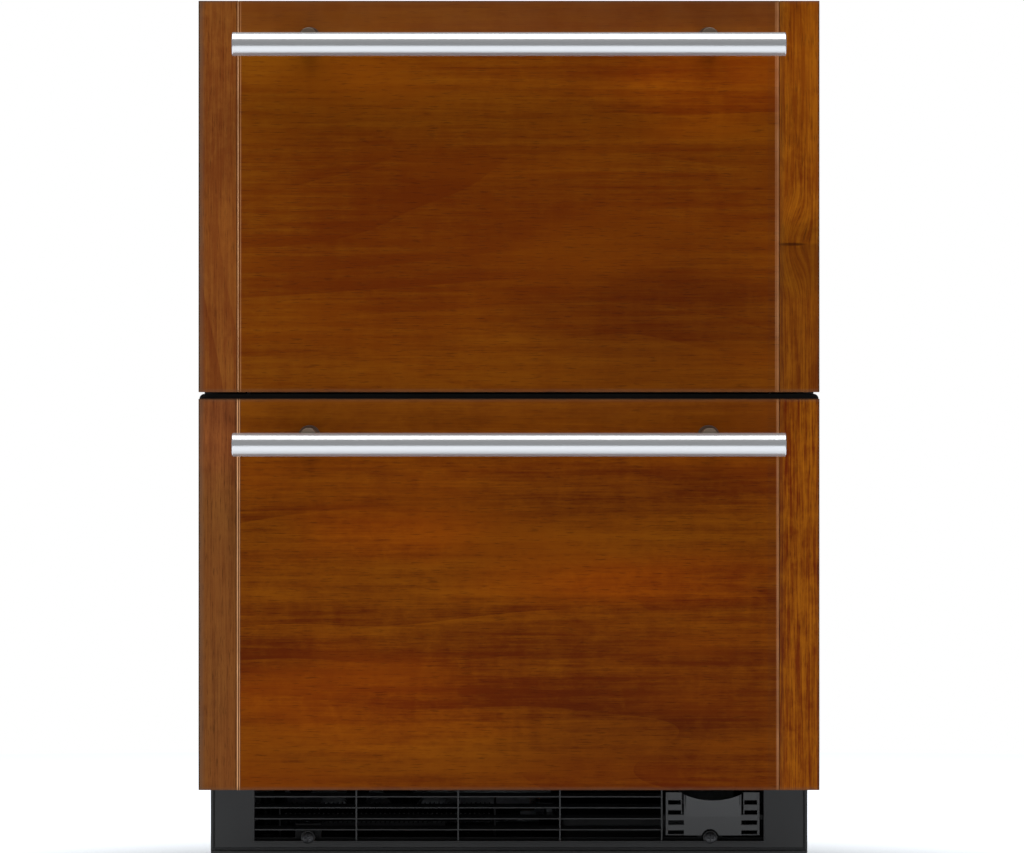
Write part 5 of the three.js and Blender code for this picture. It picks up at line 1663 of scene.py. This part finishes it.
@dataclass
class ToeKick(Assembly):
    """Kick plate with its louvres and uprights, access cover and screws.

    Args:
        half: Half the width of the opening.
        bays: Number of bays in the opening.
        edge: Width of the plate's end beads with the creases beside them.
        louvres: Heights of the louvres above the opening's lower edge.
        louvre_depth: Chord of a louvre.
        louvre_thickness: Its greatest thickness.
        tilt: How far its front edge points down, in degrees.
        cover_x: Middle of the access cover.
        cover_reach: Half its width.
        pull_half: Half the width of its finger pull.
    """

    half: float = 250
    bays: int = 5
    edge: float = 4.0
    louvres: tuple = (10.8, 21.6, 32.4, 43.2)
    louvre_depth: float = 10
    louvre_thickness: float = 2.0
    tilt: float = 18.0
    cover_x: float = 200
    cover_reach: float = 46.25
    pull_half: float = 27.5

    def build(self) -> None:
        """Makes every piece of the kick."""
        self.plate_and_grille()
        self.cover()
        for side in SIDES:
            self.screw("grille_screw_" + side)

    def plate_and_grille(self) -> None:
        """The plate with its opening, the crease along its foot, louvres, uprights and bosses."""
        node = "kick_grille"
        low, high = self.shop.box(node)
        face, back, roof = low[1], high[1], high[2]
        half, edge = self.half, self.edge
        bottom, top = low[2] + 13.8, low[2] + 63.3
        opening = (-half, half, bottom, top)
        crease = (low[2] + 4.1, low[2] + 6.9)
        small = (0.3, 0.3)
        solids = [
            framed((low[0] + edge, high[0] - edge, crease[1], roof), opening, (face, face + 3),
                   ((0.6, 0.8), small), 0.8),
            framed((-half - 2.5, half + 2.5, bottom - 2.5, roof - 0.3), opening, (face + 2, back),
                   (small, small), 0.2),
            framed((-half - 2.2, half + 2.2, bottom - 2.0, roof - 0.1), opening,
                   (face - 0.35, face + 2), ((1.2, 0.8), small), 0.5),
            plate((low[0], high[0], low[2], crease[0]), (face, back), (2.9, 0.3), (0.9, 0.3)),
        ]
        for inward, wall in ((1, low[0]), (-1, high[0])):
            bead = sorted((wall, wall + inward * (edge - 1.1)))
            inner = sorted((wall, wall + inward * 2.5))
            solids.append(plate((*bead, crease[1], roof), (face, face + 3), (0.3, 0.8), (0.7, 0.3)))
            solids.append(plate((*inner, crease[0], roof), (face + 1.5, back), rounding=small))
        boss = [(0, face + 0.05), (6.4, face + 0.05), (7.0, face + 0.6), (7.0, back), (0, back)]
        for side in SIDES:
            x, _, z = self.shop.middle("grille_screw_" + side)
            solids.append(revolved(boss, Plane.FRONT, (x, z), 36))
        self.shop.make(node + "_form", joined(solids), KICK, node)
        bay = 2 * half / self.bays
        upright_x = [bay * i - half for i in range(1, self.bays)]
        # Upright fronts and louvre noses, in the lighter copy of the plastic: painted highlight.
        edges = [plate((x - 0.8, x + 0.8, bottom - 1, top + 1), (face + 0.6, face + 11), rounding=(0.5, 0.3))
                 for x in upright_x]
        x0, x1 = -half - 1, half - bay + 1
        heights = [bottom + rise for rise in self.louvres]
        edges += [plate((x0, x1, z - 0.65, z + 0.65), (face + 0.2, face + 1.6), rounding=(0.5, 0.1))
                  for z in heights]
        self.shop.make(node + "_edges", joined(edges), NOSE_HIGHLIGHT, node, extra=True)
        # The blades take the darker copy of the plastic: painted shade.
        blades = joined(self.louvre(x0, x1, z, face + 0.6) for z in heights)
        self.shop.make(node + "_louvres", blades, BLADE_SHADE, node, extra=True)
        # Dark strips in the foot crease and beside the end beads: painted shadow.
        grooves = [plate((low[0] + 0.8, high[0] - 0.8, crease[0] - 0.5, crease[1] + 0.5),
                         (face + 2.2, face + 3))]
        grooves += [plate((x - 1.2, x + 1.2, crease[1], roof - 0.5), (face + 1.6, face + 2.8))
                    for x in (low[0] + edge - 0.5, high[0] - edge + 0.5)]
        self.shop.make(node + "_crease_shadow", joined(grooves), CREASE_SHADOW, node, extra=True)

    def cover(self) -> None:
        """Access cover: rim, rungs between the side slots, and the middle with its finger pull.

        The middle is a height over x and z: it climbs towards the top, falls off over its sides,
        and its lower and upper edges follow the screw's relief and the notch's arc.
        """
        node = "grille_access_cover"
        low, high = self.shop.box(node)
        face, back = low[1] + 2.2, high[1]
        middle, reach, pull = self.cover_x, self.cover_reach, self.pull_half
        bottom, top = low[2], high[2]
        slots = bottom + 2.8 + 9.9 * np.arange(4)
        gap = bottom + 20.7
        rungs = [(lower + 1.95, upper - 1.95) for lower, upper in zip(slots, slots[1:])]
        rungs.append((slots[-1] + 1.95, top))
        spans = [(pull + (2.3 if lower > gap else -1.0), reach - 1, lower, upper, 3)
                 for lower, upper in rungs]
        spans.append((reach - 2.6, reach, bottom, top, 9))
        spans.append((pull + 2.3, pull + 3.7, gap, top, 3))
        spans.append((pull - 0.5, reach - 1, bottom, bottom + 1.5, 9))
        solids = []
        for side in (-1, 1):
            for near, far, lower, upper, depth in spans:
                x0, x1 = sorted((middle + side * near, middle + side * far))
                solids.append(plate((x0, x1, lower, upper), (face, face + depth), rounding=(0.7, 0.3)))
        across = np.linspace(-1, 1, 57)[None] * (pull + 0.7)
        up = np.linspace(0, 1, 41)[:, None]
        notch, dip, relief = 70, 8.3, 8.5
        ridge = np.minimum(top - dip + notch - np.sqrt(notch**2 - across**2), top)
        screw_x, _, screw_z = self.shop.middle("grille_screw_right")
        bite = np.clip(relief**2 - (across + middle - screw_x) ** 2, 0, None)
        sill = np.maximum(bottom, np.where(bite > 0, screw_z + np.sqrt(bite), bottom))
        z = sill + up * (ridge - sill)
        climb = np.clip((z - top + 24) / 20, 0, 1)
        flank = np.clip((pull - np.abs(across)) / 1.7, 0, 1)
        rise = 2.2 * climb * flank * (3 - 2 * flank) * flank
        x = middle + across + 0 * up
        outer = np.stack([x, face - 0.05 - rise, z], axis=-1)
        inner = np.stack([x, np.full_like(x, face + 2.9), z], axis=-1)
        solids.append(slab(inner, outer))
        self.shop.make(node + "_form", joined(solids), COVER, node, 30)
        # The clip takes the darker louvre plastic of painted shade.
        clip = plate((low[0], high[0], bottom + 15, bottom + 20.2), (back - 3, back - 1))
        self.shop.make(node + "_clip", clip, BLADE_SHADE, node, extra=True)

    def louvre(self, x0: float, x1: float, z: float, front: float) -> Surface:
        """A louvre: an ellipse-nosed blade carried along x.

        The section is (c cos t, h sin t) about the blade's middle, with the sine flattened by a
        power so that its faces stay parallel, turned by the tilt.

        Args:
            x0: Where the blade starts.
            x1: Where it ends.
            z: Height of its front edge.
            front: Where its front edge is.

        Returns:
            The closed surface.
        """
        t = np.linspace(0, 2 * math.pi, 20, endpoint=False)
        half = self.louvre_depth / 2
        along = half * np.sign(np.cos(t)) * np.abs(np.cos(t)) ** 0.6
        up = self.louvre_thickness / 2 * np.sign(np.sin(t)) * np.abs(np.sin(t)) ** 0.6
        cos, sin = math.cos(math.radians(self.tilt)), math.sin(math.radians(self.tilt))
        y, height = along * cos - up * sin + front + half, (along + half) * sin + up * cos + z
        section = np.stack([y, height], axis=-1)
        return layered(np.stack([section, section]), np.array([x0, x1]), Plane.SIDE)

    def screw(self, node: str) -> None:
        """Round-headed screw with a sunk cross: the cross lowers the dome near its two arms.

        Args:
            node: The screw's node.
        """
        low, high = self.shop.box(node)
        x, _, z = self.shop.middle(node)
        radius = (high[0] - low[0]) / 2
        rings = np.linspace(0.02, 1, 26)[:, None]
        angle = np.linspace(0, 2 * math.pi, 72, endpoint=False)[None]
        u, v = radius * rings * np.cos(angle), radius * rings * np.sin(angle)
        dome = 2.35 * np.sqrt(np.clip(1 - (0.97 * rings) ** 2, 0, 1)) * np.ones_like(angle)
        arm = np.minimum(np.abs(u), np.abs(v)) < 0.55
        sunk = arm & (np.hypot(u, v) < radius * 0.58)
        depth = low[1] + 2.45 - np.where(sunk, dome - 1.3, dome)
        cap = np.stack([x + u, depth, z + v], axis=-1)
        skirt = cap[-1:].copy()
        skirt[..., 1] = low[1] + 2.6
        self.shop.make(node + "_head", skin(np.concatenate([cap, skirt])), SCREW, node)


@dataclass
class Base(Assembly):
    """Steel tray, levelling legs and the tray for defrost water.

    Args:
        thread_pitch: Pitch of the legs' thread.
    """

    thread_pitch: float = 1.5

    def build(self) -> None:
        """Makes every piece of the base."""
        # The base pan's black paint is darkened further as painted shade behind the grille.
        self.shop.soften("base_pan", BASE_PAINT_AND_SHADE.worn_on(*self.shop.box("base_pan")), 0.35)
        for end in ("front", "rear"):
            for side in SIDES:
                self.leg(f"leg_{end}_{side}")
        self.shop.make("drain_pan_tray", tray(self.shop.box("drain_pan"), 2, 10, 1), DRAIN, "drain_pan")

    def leg(self, node: str) -> None:
        """Turned foot, chamfered hexagon and threaded stem.

        Args:
            node: The leg's node.
        """
        low, high = self.shop.box(node)
        x, y, _ = self.shop.middle(node)
        radius = (high[0] - low[0]) / 2
        foot = revolved(
            [(0, 0), (radius - 2.4, 0), (radius - 0.6, 0.5), (radius, 1.8), (radius - 0.2, 3.6),
             (radius - 1.6, 5.0), (radius * 0.6, 8.2), (8.4, 10.8), (7.0, 12.6), (0, 12.6)], Plane.TOP)
        hexagon = revolved(
            [(0, 12), (8.6, 12), (9.8, 13), (9.8, 29.4), (8.6, 30.6), (0, 30.6)], Plane.TOP, sides=6)
        stem = threaded(5.95, self.thread_pitch, 0.8, 30, high[2] - 1)
        # Its steel is darkened as painted shade behind the grille.
        self.shop.make(node + "_turned", joined([foot, hexagon, stem]).placed(x, y), LEG_SHADE_STEEL, node)


# ------------ cooling system


@dataclass
class Cooling(Assembly):
    """Coils, fans, compressor and lines.

    Args:
        coil_half: Half the length of the evaporator's runs.
        coil_depth: How far behind the evaporator's front its tube lies.
        fins: Number of fins on the evaporator.
        wires: Number of wires across the condenser.
        blades: Number of blades on a fan.
        shell: Greatest radius of the compressor's shell, less its flange.
        shell_profile: (radius, height) points of the shell, as shares of its radius and height.
    """

    coil_half: float = 150
    coil_depth: float = 18
    fins: int = 56
    wires: int = 44
    blades: int = 5
    shell: float = 68
    shell_profile: tuple = (
        (0, 0.0), (0.60, 0.0), (0.78, 0.012), (0.90, 0.05), (0.965, 0.11), (0.985, 0.2), (1.0, 0.42),
        (1.035, 0.43), (1.05, 0.438), (1.05, 0.482), (1.035, 0.49), (1.0, 0.5), (0.99, 0.66),
        (0.97, 0.78), (0.92, 0.87), (0.82, 0.935), (0.66, 0.975), (0.45, 0.995), (0.2, 1.0), (0, 1.0),
    )

    def build(self) -> None:
        """Makes every piece of the cooling system."""
        self.evaporator()
        self.condenser()
        self.compressor()
        self.suction()
        self.discharge()
        self.fan("evaporator_fan", 13)
        self.fan("condenser_fan", 15)
        self.shop.soften("evaporator_cover", LINER, 0.8)
        self.guard()
        for node in ("evaporator_fan_motor", "condenser_fan_motor"):
            self.shop.soften(node, MOTOR)

    def evaporator(self) -> None:
        """A run of tube through a pack of thin fins, between two end plates."""
        node = "evaporator_coil"
        low, high = self.shop.box(node)
        y = low[1] + self.coil_depth
        places = [(y, z) for z in np.linspace(low[2] + 12, high[2] - 12, 5)]
        runs = serpentine(-self.coil_half, self.coil_half, np.array(places), 3.5)
        fin = plate((y - 17.5, y + 17.5, low[2] + 1, high[2] - 1), (0.0, 0.35), (3, 3), (0.1, 0.1),
                    Plane.SIDE, 2)
        spread = np.linspace(24 - self.coil_half, self.coil_half - 24, self.fins)
        pack = repeated(fin, spread[:, None] * [1, 0, 0])
        outline = (low[1], high[1], low[2], high[2])
        ends = [plate(outline, (x - 0.8, x + 0.8), (3, 3), (0.2, 0.2), Plane.SIDE) for x in (-129, 129)]
        self.shop.make(node + "_finned", joined([runs, pack, *ends]), COIL, node)

    def condenser(self) -> None:
        """A flat run of tube with wires across it, above and below, on two plates."""
        node = "condenser_coil"
        low, high = self.shop.box(node)
        z = low[2] + 29.25
        left, right = low[0] + 3, high[0] - 3
        first, last = low[1] + 11, high[1] - 11
        runs = serpentine(left, right, np.array([(y, z) for y in np.linspace(first, last, 7)]), 3.5)
        wire = tube(np.array([[0, y, 0] for y in (first - 6, (first + last) / 2, last + 6)]), 0.8, 6)
        spread = np.linspace(left + 28, right - 28, self.wires)
        offsets = np.array([(x, 0, z + rise) for rise in (-4.2, 4.2) for x in spread])
        outline = (low[1], high[1], low[2], high[2] - 1)
        plates = [plate(outline, (x - 1, x + 1), (2, 5), (0.3, 0.3), Plane.SIDE)
                  for x in (left + 22, right - 22)]
        coil = joined([runs, repeated(wire, offsets), *plates])
        # Black paint, darkened further as painted shade behind the grille.
        self.shop.make(node + "_wired", coil, CONDENSER_PAINT_AND_SHADE, node)

    def compressor(self) -> None:
        """Drawn shell with its weld flange, foot plate on grommets, terminal cover and stubs."""
        node = "compressor"
        low, high = self.shop.box(node)
        x, y, radius = low[0] + 82, self.shop.box("suction_line")[0][1] + 4, self.shell
        base = low[2] + 9.75
        height = high[2] - base
        profile = [(r * radius, base + h * height) for r, h in self.shell_profile]
        far, near = x + radius, x - radius
        inlet = [(0, far - 10), (5, far - 10), (5, far + 21), (4, far + 22), (0, far + 22)]
        outlet = [(0, near - 10), (4.5, near - 10), (4.5, near + 8), (0, near + 8)]
        form = joined([
            revolved(profile, Plane.TOP, (x, y), 72),
            plate((x - 82, x + 82, y - 56, y + 56), (base, base + 3), (14, 14), (0.6, 0.6), Plane.TOP),
            revolved(inlet, Plane.SIDE, (y, base + 108), 20),
            revolved(outlet, Plane.SIDE, (y, base + 19.5), 20),
        ])
        self.shop.make(node + "_shell", form, COMPRESSOR_PAINT, node)
        cover = plate((x - 26, x + 26, base + 0.2 * height, base + 0.6 * height),
                      (y - radius + 12, y - radius - 16), (5, 5), (0.5, 3))
        self.shop.make(node + "_terminals", cover, CONTROL, node, extra=True)
        corners = np.array([(x + sx * 68, y + sy * 44, 0) for sx in (-1, 1) for sy in (-1, 1)])
        foot = low[2]
        peg = [(0, foot), (9.8, foot), (11, foot + 1.2), (11, foot + 3.6), (8.6, foot + 4.8),
               (11, foot + 6.0), (11, base - 0.2), (0, base)]
        pegs = repeated(revolved(peg, Plane.TOP, sides=28), corners)
        self.shop.make(node + "_grommets", pegs, FOOT, node, extra=True)
        nut = [(0, base + 3), (6, base + 3), (6, base + 6.4), (5.2, base + 7.2), (0, base + 7.2)]
        nuts = repeated(revolved(nut, Plane.TOP, sides=6), corners)
        self.shop.make(node + "_nuts", nuts, ZINC, node, extra=True)

    def suction(self) -> None:
        """Suction line along its route in the frame, with a sleeve over the compressor's stub."""
        node = "suction_line"
        radius = 4
        low, high = self.shop.box(node) + [[radius], [-radius]]
        x, y = high[0], self.shop.box("evaporator_coil")[0][1] + self.coil_depth
        stub = self.shop.box("compressor")[1][0] + 0.25
        route = [(low[0] - radius, y, high[2]), (x, y, high[2]), (x, high[1], high[2]),
                 (x, high[1], low[2]), (x, low[1], low[2]), (stub, low[1], low[2])]
        sleeve = [(0, stub), (5.2, stub), (5.4, stub + 3), (4.6, stub + 5), (0, stub + 5)]
        line = joined([tube(filleted(route, 10), radius, 20), revolved(sleeve, Plane.SIDE, low[1:], 24)])
        self.shop.make(node + "_tube", line, COPPER, node)

    def discharge(self) -> None:
        """Discharge line along its route in the frame."""
        node = "discharge_line"
        radius = 3.5
        low, high = self.shop.box(node)
        z = (low[2] + high[2]) / 2
        bend = min(high[0] - radius - 0.5, 24)
        front, rear = low[1] + radius, high[1] - radius
        route = [(high[0], rear, z), (bend, rear, z), (bend, front, z), (low[0], front, z)]
        self.shop.make(node + "_tube", tube(filleted(route, 7), radius, 18), COPPER, node)

    def fan(self, node: str, hub: float) -> None:
        """A fan: a domed hub and blades that twist from root to tip.

        A blade point at radius r and chord share s lies at the angle a0 + s * width(r) / r and at
        the depth s * rise(r), where the rise falls towards the tip; the blade has a thickness.

        Args:
            node: The fan's node.
            hub: Radius of its hub.
        """
        low, high = self.shop.box(node)
        axis = self.shop.axis_of[node]
        reach = np.abs([low - axis, high - axis])[:, [0, 2]].max()
        front, back = low[1], high[1]
        r = np.linspace(hub - 1, reach, 9)[:, None]
        s = np.linspace(-0.5, 0.5, 11)[None]
        out = (r - hub) / (reach - hub)
        angle = s * (0.62 + 0.25 * out) * hub * 2.0 / r + 0.35 * np.clip(out, 0, None) ** 1.5
        depth = (front + back) / 2 + s * (11 - 4 * out) + 0.6 * np.cos(math.pi * s)
        thick = 0.6 * np.sqrt(np.clip(1 - (1.9 * s) ** 2, 0.05, 1))
        x, z = r * np.cos(angle), r * np.sin(angle)
        blade = slab(np.stack([x, depth - thick, z], axis=-1), np.stack([x, depth + thick, z], axis=-1))
        turns = np.linspace(0, 2 * math.pi, self.blades, endpoint=False)
        dome = revolved([(2.8, back), (hub, back), (hub, front + 2.5), (hub - 0.8, front + 1),
                         (hub - 2.6, front + 0.2), (2.8, front)], Plane.FRONT, closed=True)
        whole = joined([*(blade.turned(turn) for turn in turns), dome]).placed(axis[0], 0.0, axis[2])
        self.shop.make(node + "_impeller", whole, FAN, node)

    def guard(self) -> None:
        """Wire guard in the evaporator cover's fan opening: rings and spokes."""
        node = "evaporator_cover"
        y, z = self.shop.box(node)[0][1] + 0.9, self.shop.axis_of["evaporator_fan"][2]
        wire = 0.8
        turn = np.linspace(0, 2 * math.pi, 12, endpoint=False)
        section = wire * np.stack([np.cos(turn), np.sin(turn)], axis=-1)
        rings = [revolved(section + [radius, y], Plane.FRONT, (0.0, z), 60, closed=True)
                 for radius in (12, 20, 28, 36, 44)]
        spoke = tube(np.array([[10, y, 0], [28, y, 0], [48, y, 0]]), wire, 8)
        spokes = [spoke.turned(math.pi / 4 * i + 0.2).placed(z=z) for i in range(8)]
        self.shop.make("evaporator_fan_guard", joined([*rings, *spokes]), ZINC, node, extra=True)


# ------------ controls


@dataclass
class Controls(Assembly):
    """Control housing with its keys, display window and lamp lens.

    Args:
        arrow: Half the width of the arrow on a key.
    """

    arrow: float = 2.6

    def build(self) -> None:
        """Makes every piece of the controls."""
        node = "control_housing"
        self.shop.soften(node, CONTROL, 0.5)
        low, high = self.shop.box(node)
        middle = (low[2] + high[2]) / 2
        window = plate((-21.4, 21.4, middle - 6.4, middle + 6.4), (low[1] + 0.9, low[1] + 0.25),
                       (1, 1), (0.05, 0.2))
        self.shop.make("control_display", window, DISPLAY, node, extra=True)
        half = (high[0] - low[0]) / 2 - 16.5
        lens = plate((-half, half, low[1] + 20.5, high[1] - 10.5), (low[2] + 3.9, low[2] + 1.2),
                     (3, 3), (0.2, 1.0), Plane.TOP)
        self.shop.make("control_lens", lens, LAMP, node, extra=True)
        self.key("colder_button", -1)
        self.key("warmer_button", 1)

    def key(self, node: str, way: int) -> None:
        """A rounded key with a raised arrow.

        Args:
            node: The key's node.
            way: 1 for an arrow up, -1 for one down.
        """
        low, high = self.shop.box(node)
        x, _, z = self.shop.middle(node)
        cap = plate((low[0], high[0], low[2], high[2]), (high[1], low[1] + 0.3), (2, 2), (0.2, 0.8))
        points = np.array([[-1.0, -0.8], [1.0, -0.8], [0.0, 1.0]]) * self.arrow * [1, way]
        outlines = np.stack([points, points * 0.9]) + [x, z]
        arrow = layered(outlines, np.array([low[1] + 0.4, low[1] + 0.05]), Plane.FRONT)
        self.shop.make(node + "_cap", joined([cap, arrow]), KEY, node)


# ------------ studio


@dataclass
class Studio(Assembly):
    """Pale round floor, soft light and the camera, in metres.

    Args:
        distance: Camera to the wood's face.
        frame_width: What the picture spans at that face.
        height: Height of the camera.
        shift_x: How far it stands to the right of the middle.
        sky: Brightness of the room in reflections and shadows.
        floor_rings: Radii of the floor's rings of points.
        lamp_place: Where the light overhead hangs.
        lamp_size: Its width and depth.
        radiance: How bright its face is; its power is pi times this times its area.
    """

    distance: float = 7.0
    frame_width: float = 0.9943
    height: float = 0.4496
    shift_x: float = 0.0029
    sky: float = 0.22
    floor_rings: tuple = (0.3, 0.8, 1.5, 2.2, 2.7)
    lamp_place: Triple = (0.0, -0.85, 3.1)
    lamp_size: tuple[float, float] = (4.6, 2.7)
    radiance: float = 3.7

    def build(self) -> None:
        """Sets up the whole studio."""
        self.floor()
        self.room()
        self.lamp()
        self.camera(self.shop.box("upper_front_panel")[0][1] * MM)
        settings = bpy.context.scene.view_settings
        settings.view_transform = "Standard"
        settings.look = "None"

    def floor(self) -> None:
        """A plain pale disc whose glow, a painted light, grows away from the object, so that it has no
        visible end.
        """
        angle = np.linspace(0, 2 * math.pi, 96, endpoint=False)
        circle = np.stack([np.cos(angle), np.sin(angle), 0 * angle], axis=-1)
        disc = skin(np.array(self.floor_rings)[:, None, None] * circle, capped=False)
        mesh = bpy.data.meshes.new("floor")
        mesh.from_pydata(disc.points.tolist(), [], disc.faces[0].tolist() + [list(range(96))])
        paint = bpy.data.materials.new("Floor")
        paint.use_nodes = True
        graph = Graph(paint.node_tree)
        away = graph.length(graph.node("ShaderNodeTexCoord").outputs["Object"])
        # Share of the floor's glow, a painted light: none within 0.24 m of the middle, full from 0.85 m out.
        lift = graph.between(away, 0.24, 0.85)
        graph.feed(paint.node_tree.nodes["Principled BSDF"], {
            "Base Color": (0.86, 0.89, 0.92, 1.0),
            "Roughness": 0.9,
            "Specular IOR Level": 0.1,
            "Emission Color": graph.mix(lift, (0.0, 0.0, 0.0, 1.0), (0.55, 0.58, 0.62, 1.0)),
            "Emission Strength": 1.0,
        })
        mesh.materials.append(paint)
        floor = bpy.data.objects.new("floor", mesh)
        bpy.context.scene.collection.objects.link(floor)

    def room(self) -> None:
        """White behind the object, and a soft grey room in what it reflects."""
        world = bpy.data.worlds.new("Room")
        bpy.context.scene.world = world
        world.use_nodes = True
        graph = Graph(world.node_tree)
        seen = graph.node("ShaderNodeLightPath").outputs["Is Camera Ray"]
        tone = graph.mix(seen, (self.sky, self.sky, self.sky, 1.0), (1.0, 1.0, 1.0, 1.0))
        graph.feed(world.node_tree.nodes["Background"], {"Color": tone, "Strength": 1.0})

    def lamp(self) -> None:
        """One broad soft light overhead, which shines down."""
        lamp = bpy.data.lights.new("Overhead panel", "AREA")
        lamp.shape = "RECTANGLE"
        lamp.size, lamp.size_y = self.lamp_size
        lamp.energy = self.radiance * math.pi * math.prod(self.lamp_size)
        light = bpy.data.objects.new("Overhead panel", lamp)
        light.location = self.lamp_place
        bpy.context.scene.collection.objects.link(light)

    def camera(self, face: float) -> None:
        """A level camera square to the front, far enough away to match the picture.

        Args:
            face: Where the wood's face is, along y.
        """
        view = bpy.data.cameras.new("camera")
        view.sensor_fit = "HORIZONTAL"
        view.sensor_width = 36.0
        view.lens = view.sensor_width * self.distance / self.frame_width
        view.clip_end = 100.0
        camera = bpy.data.objects.new("camera", view)
        camera.location = (self.shift_x, face - self.distance, self.height)
        camera.rotation_euler = (math.pi / 2, 0.0, 0.0)
        bpy.context.scene.collection.objects.link(camera)
        bpy.context.scene.camera = camera


# ------------ main


def main() -> None:
    """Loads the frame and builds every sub-assembly."""
    logging.basicConfig(level=logging.INFO, format="%(message)s")
    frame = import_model()
    shop = Workshop(frame)
    for assembly in (
        DrawerFront(shop, "upper_", UPPER_PANEL),
        DrawerFront(shop, "lower_", LOWER_PANEL),
        DrawerBox(shop, "upper_"),
        DrawerBox(shop, "lower_"),
        Cabinet(shop),
        ToeKick(shop),
        Base(shop),
        Cooling(shop),
        Controls(shop),
        Studio(shop),
    ):
        assembly.build()
    shop.soften("bin_divider", BIN)
    LOG.info("%d pieces made", shop.count)


if __name__ == "__main__":
    main()
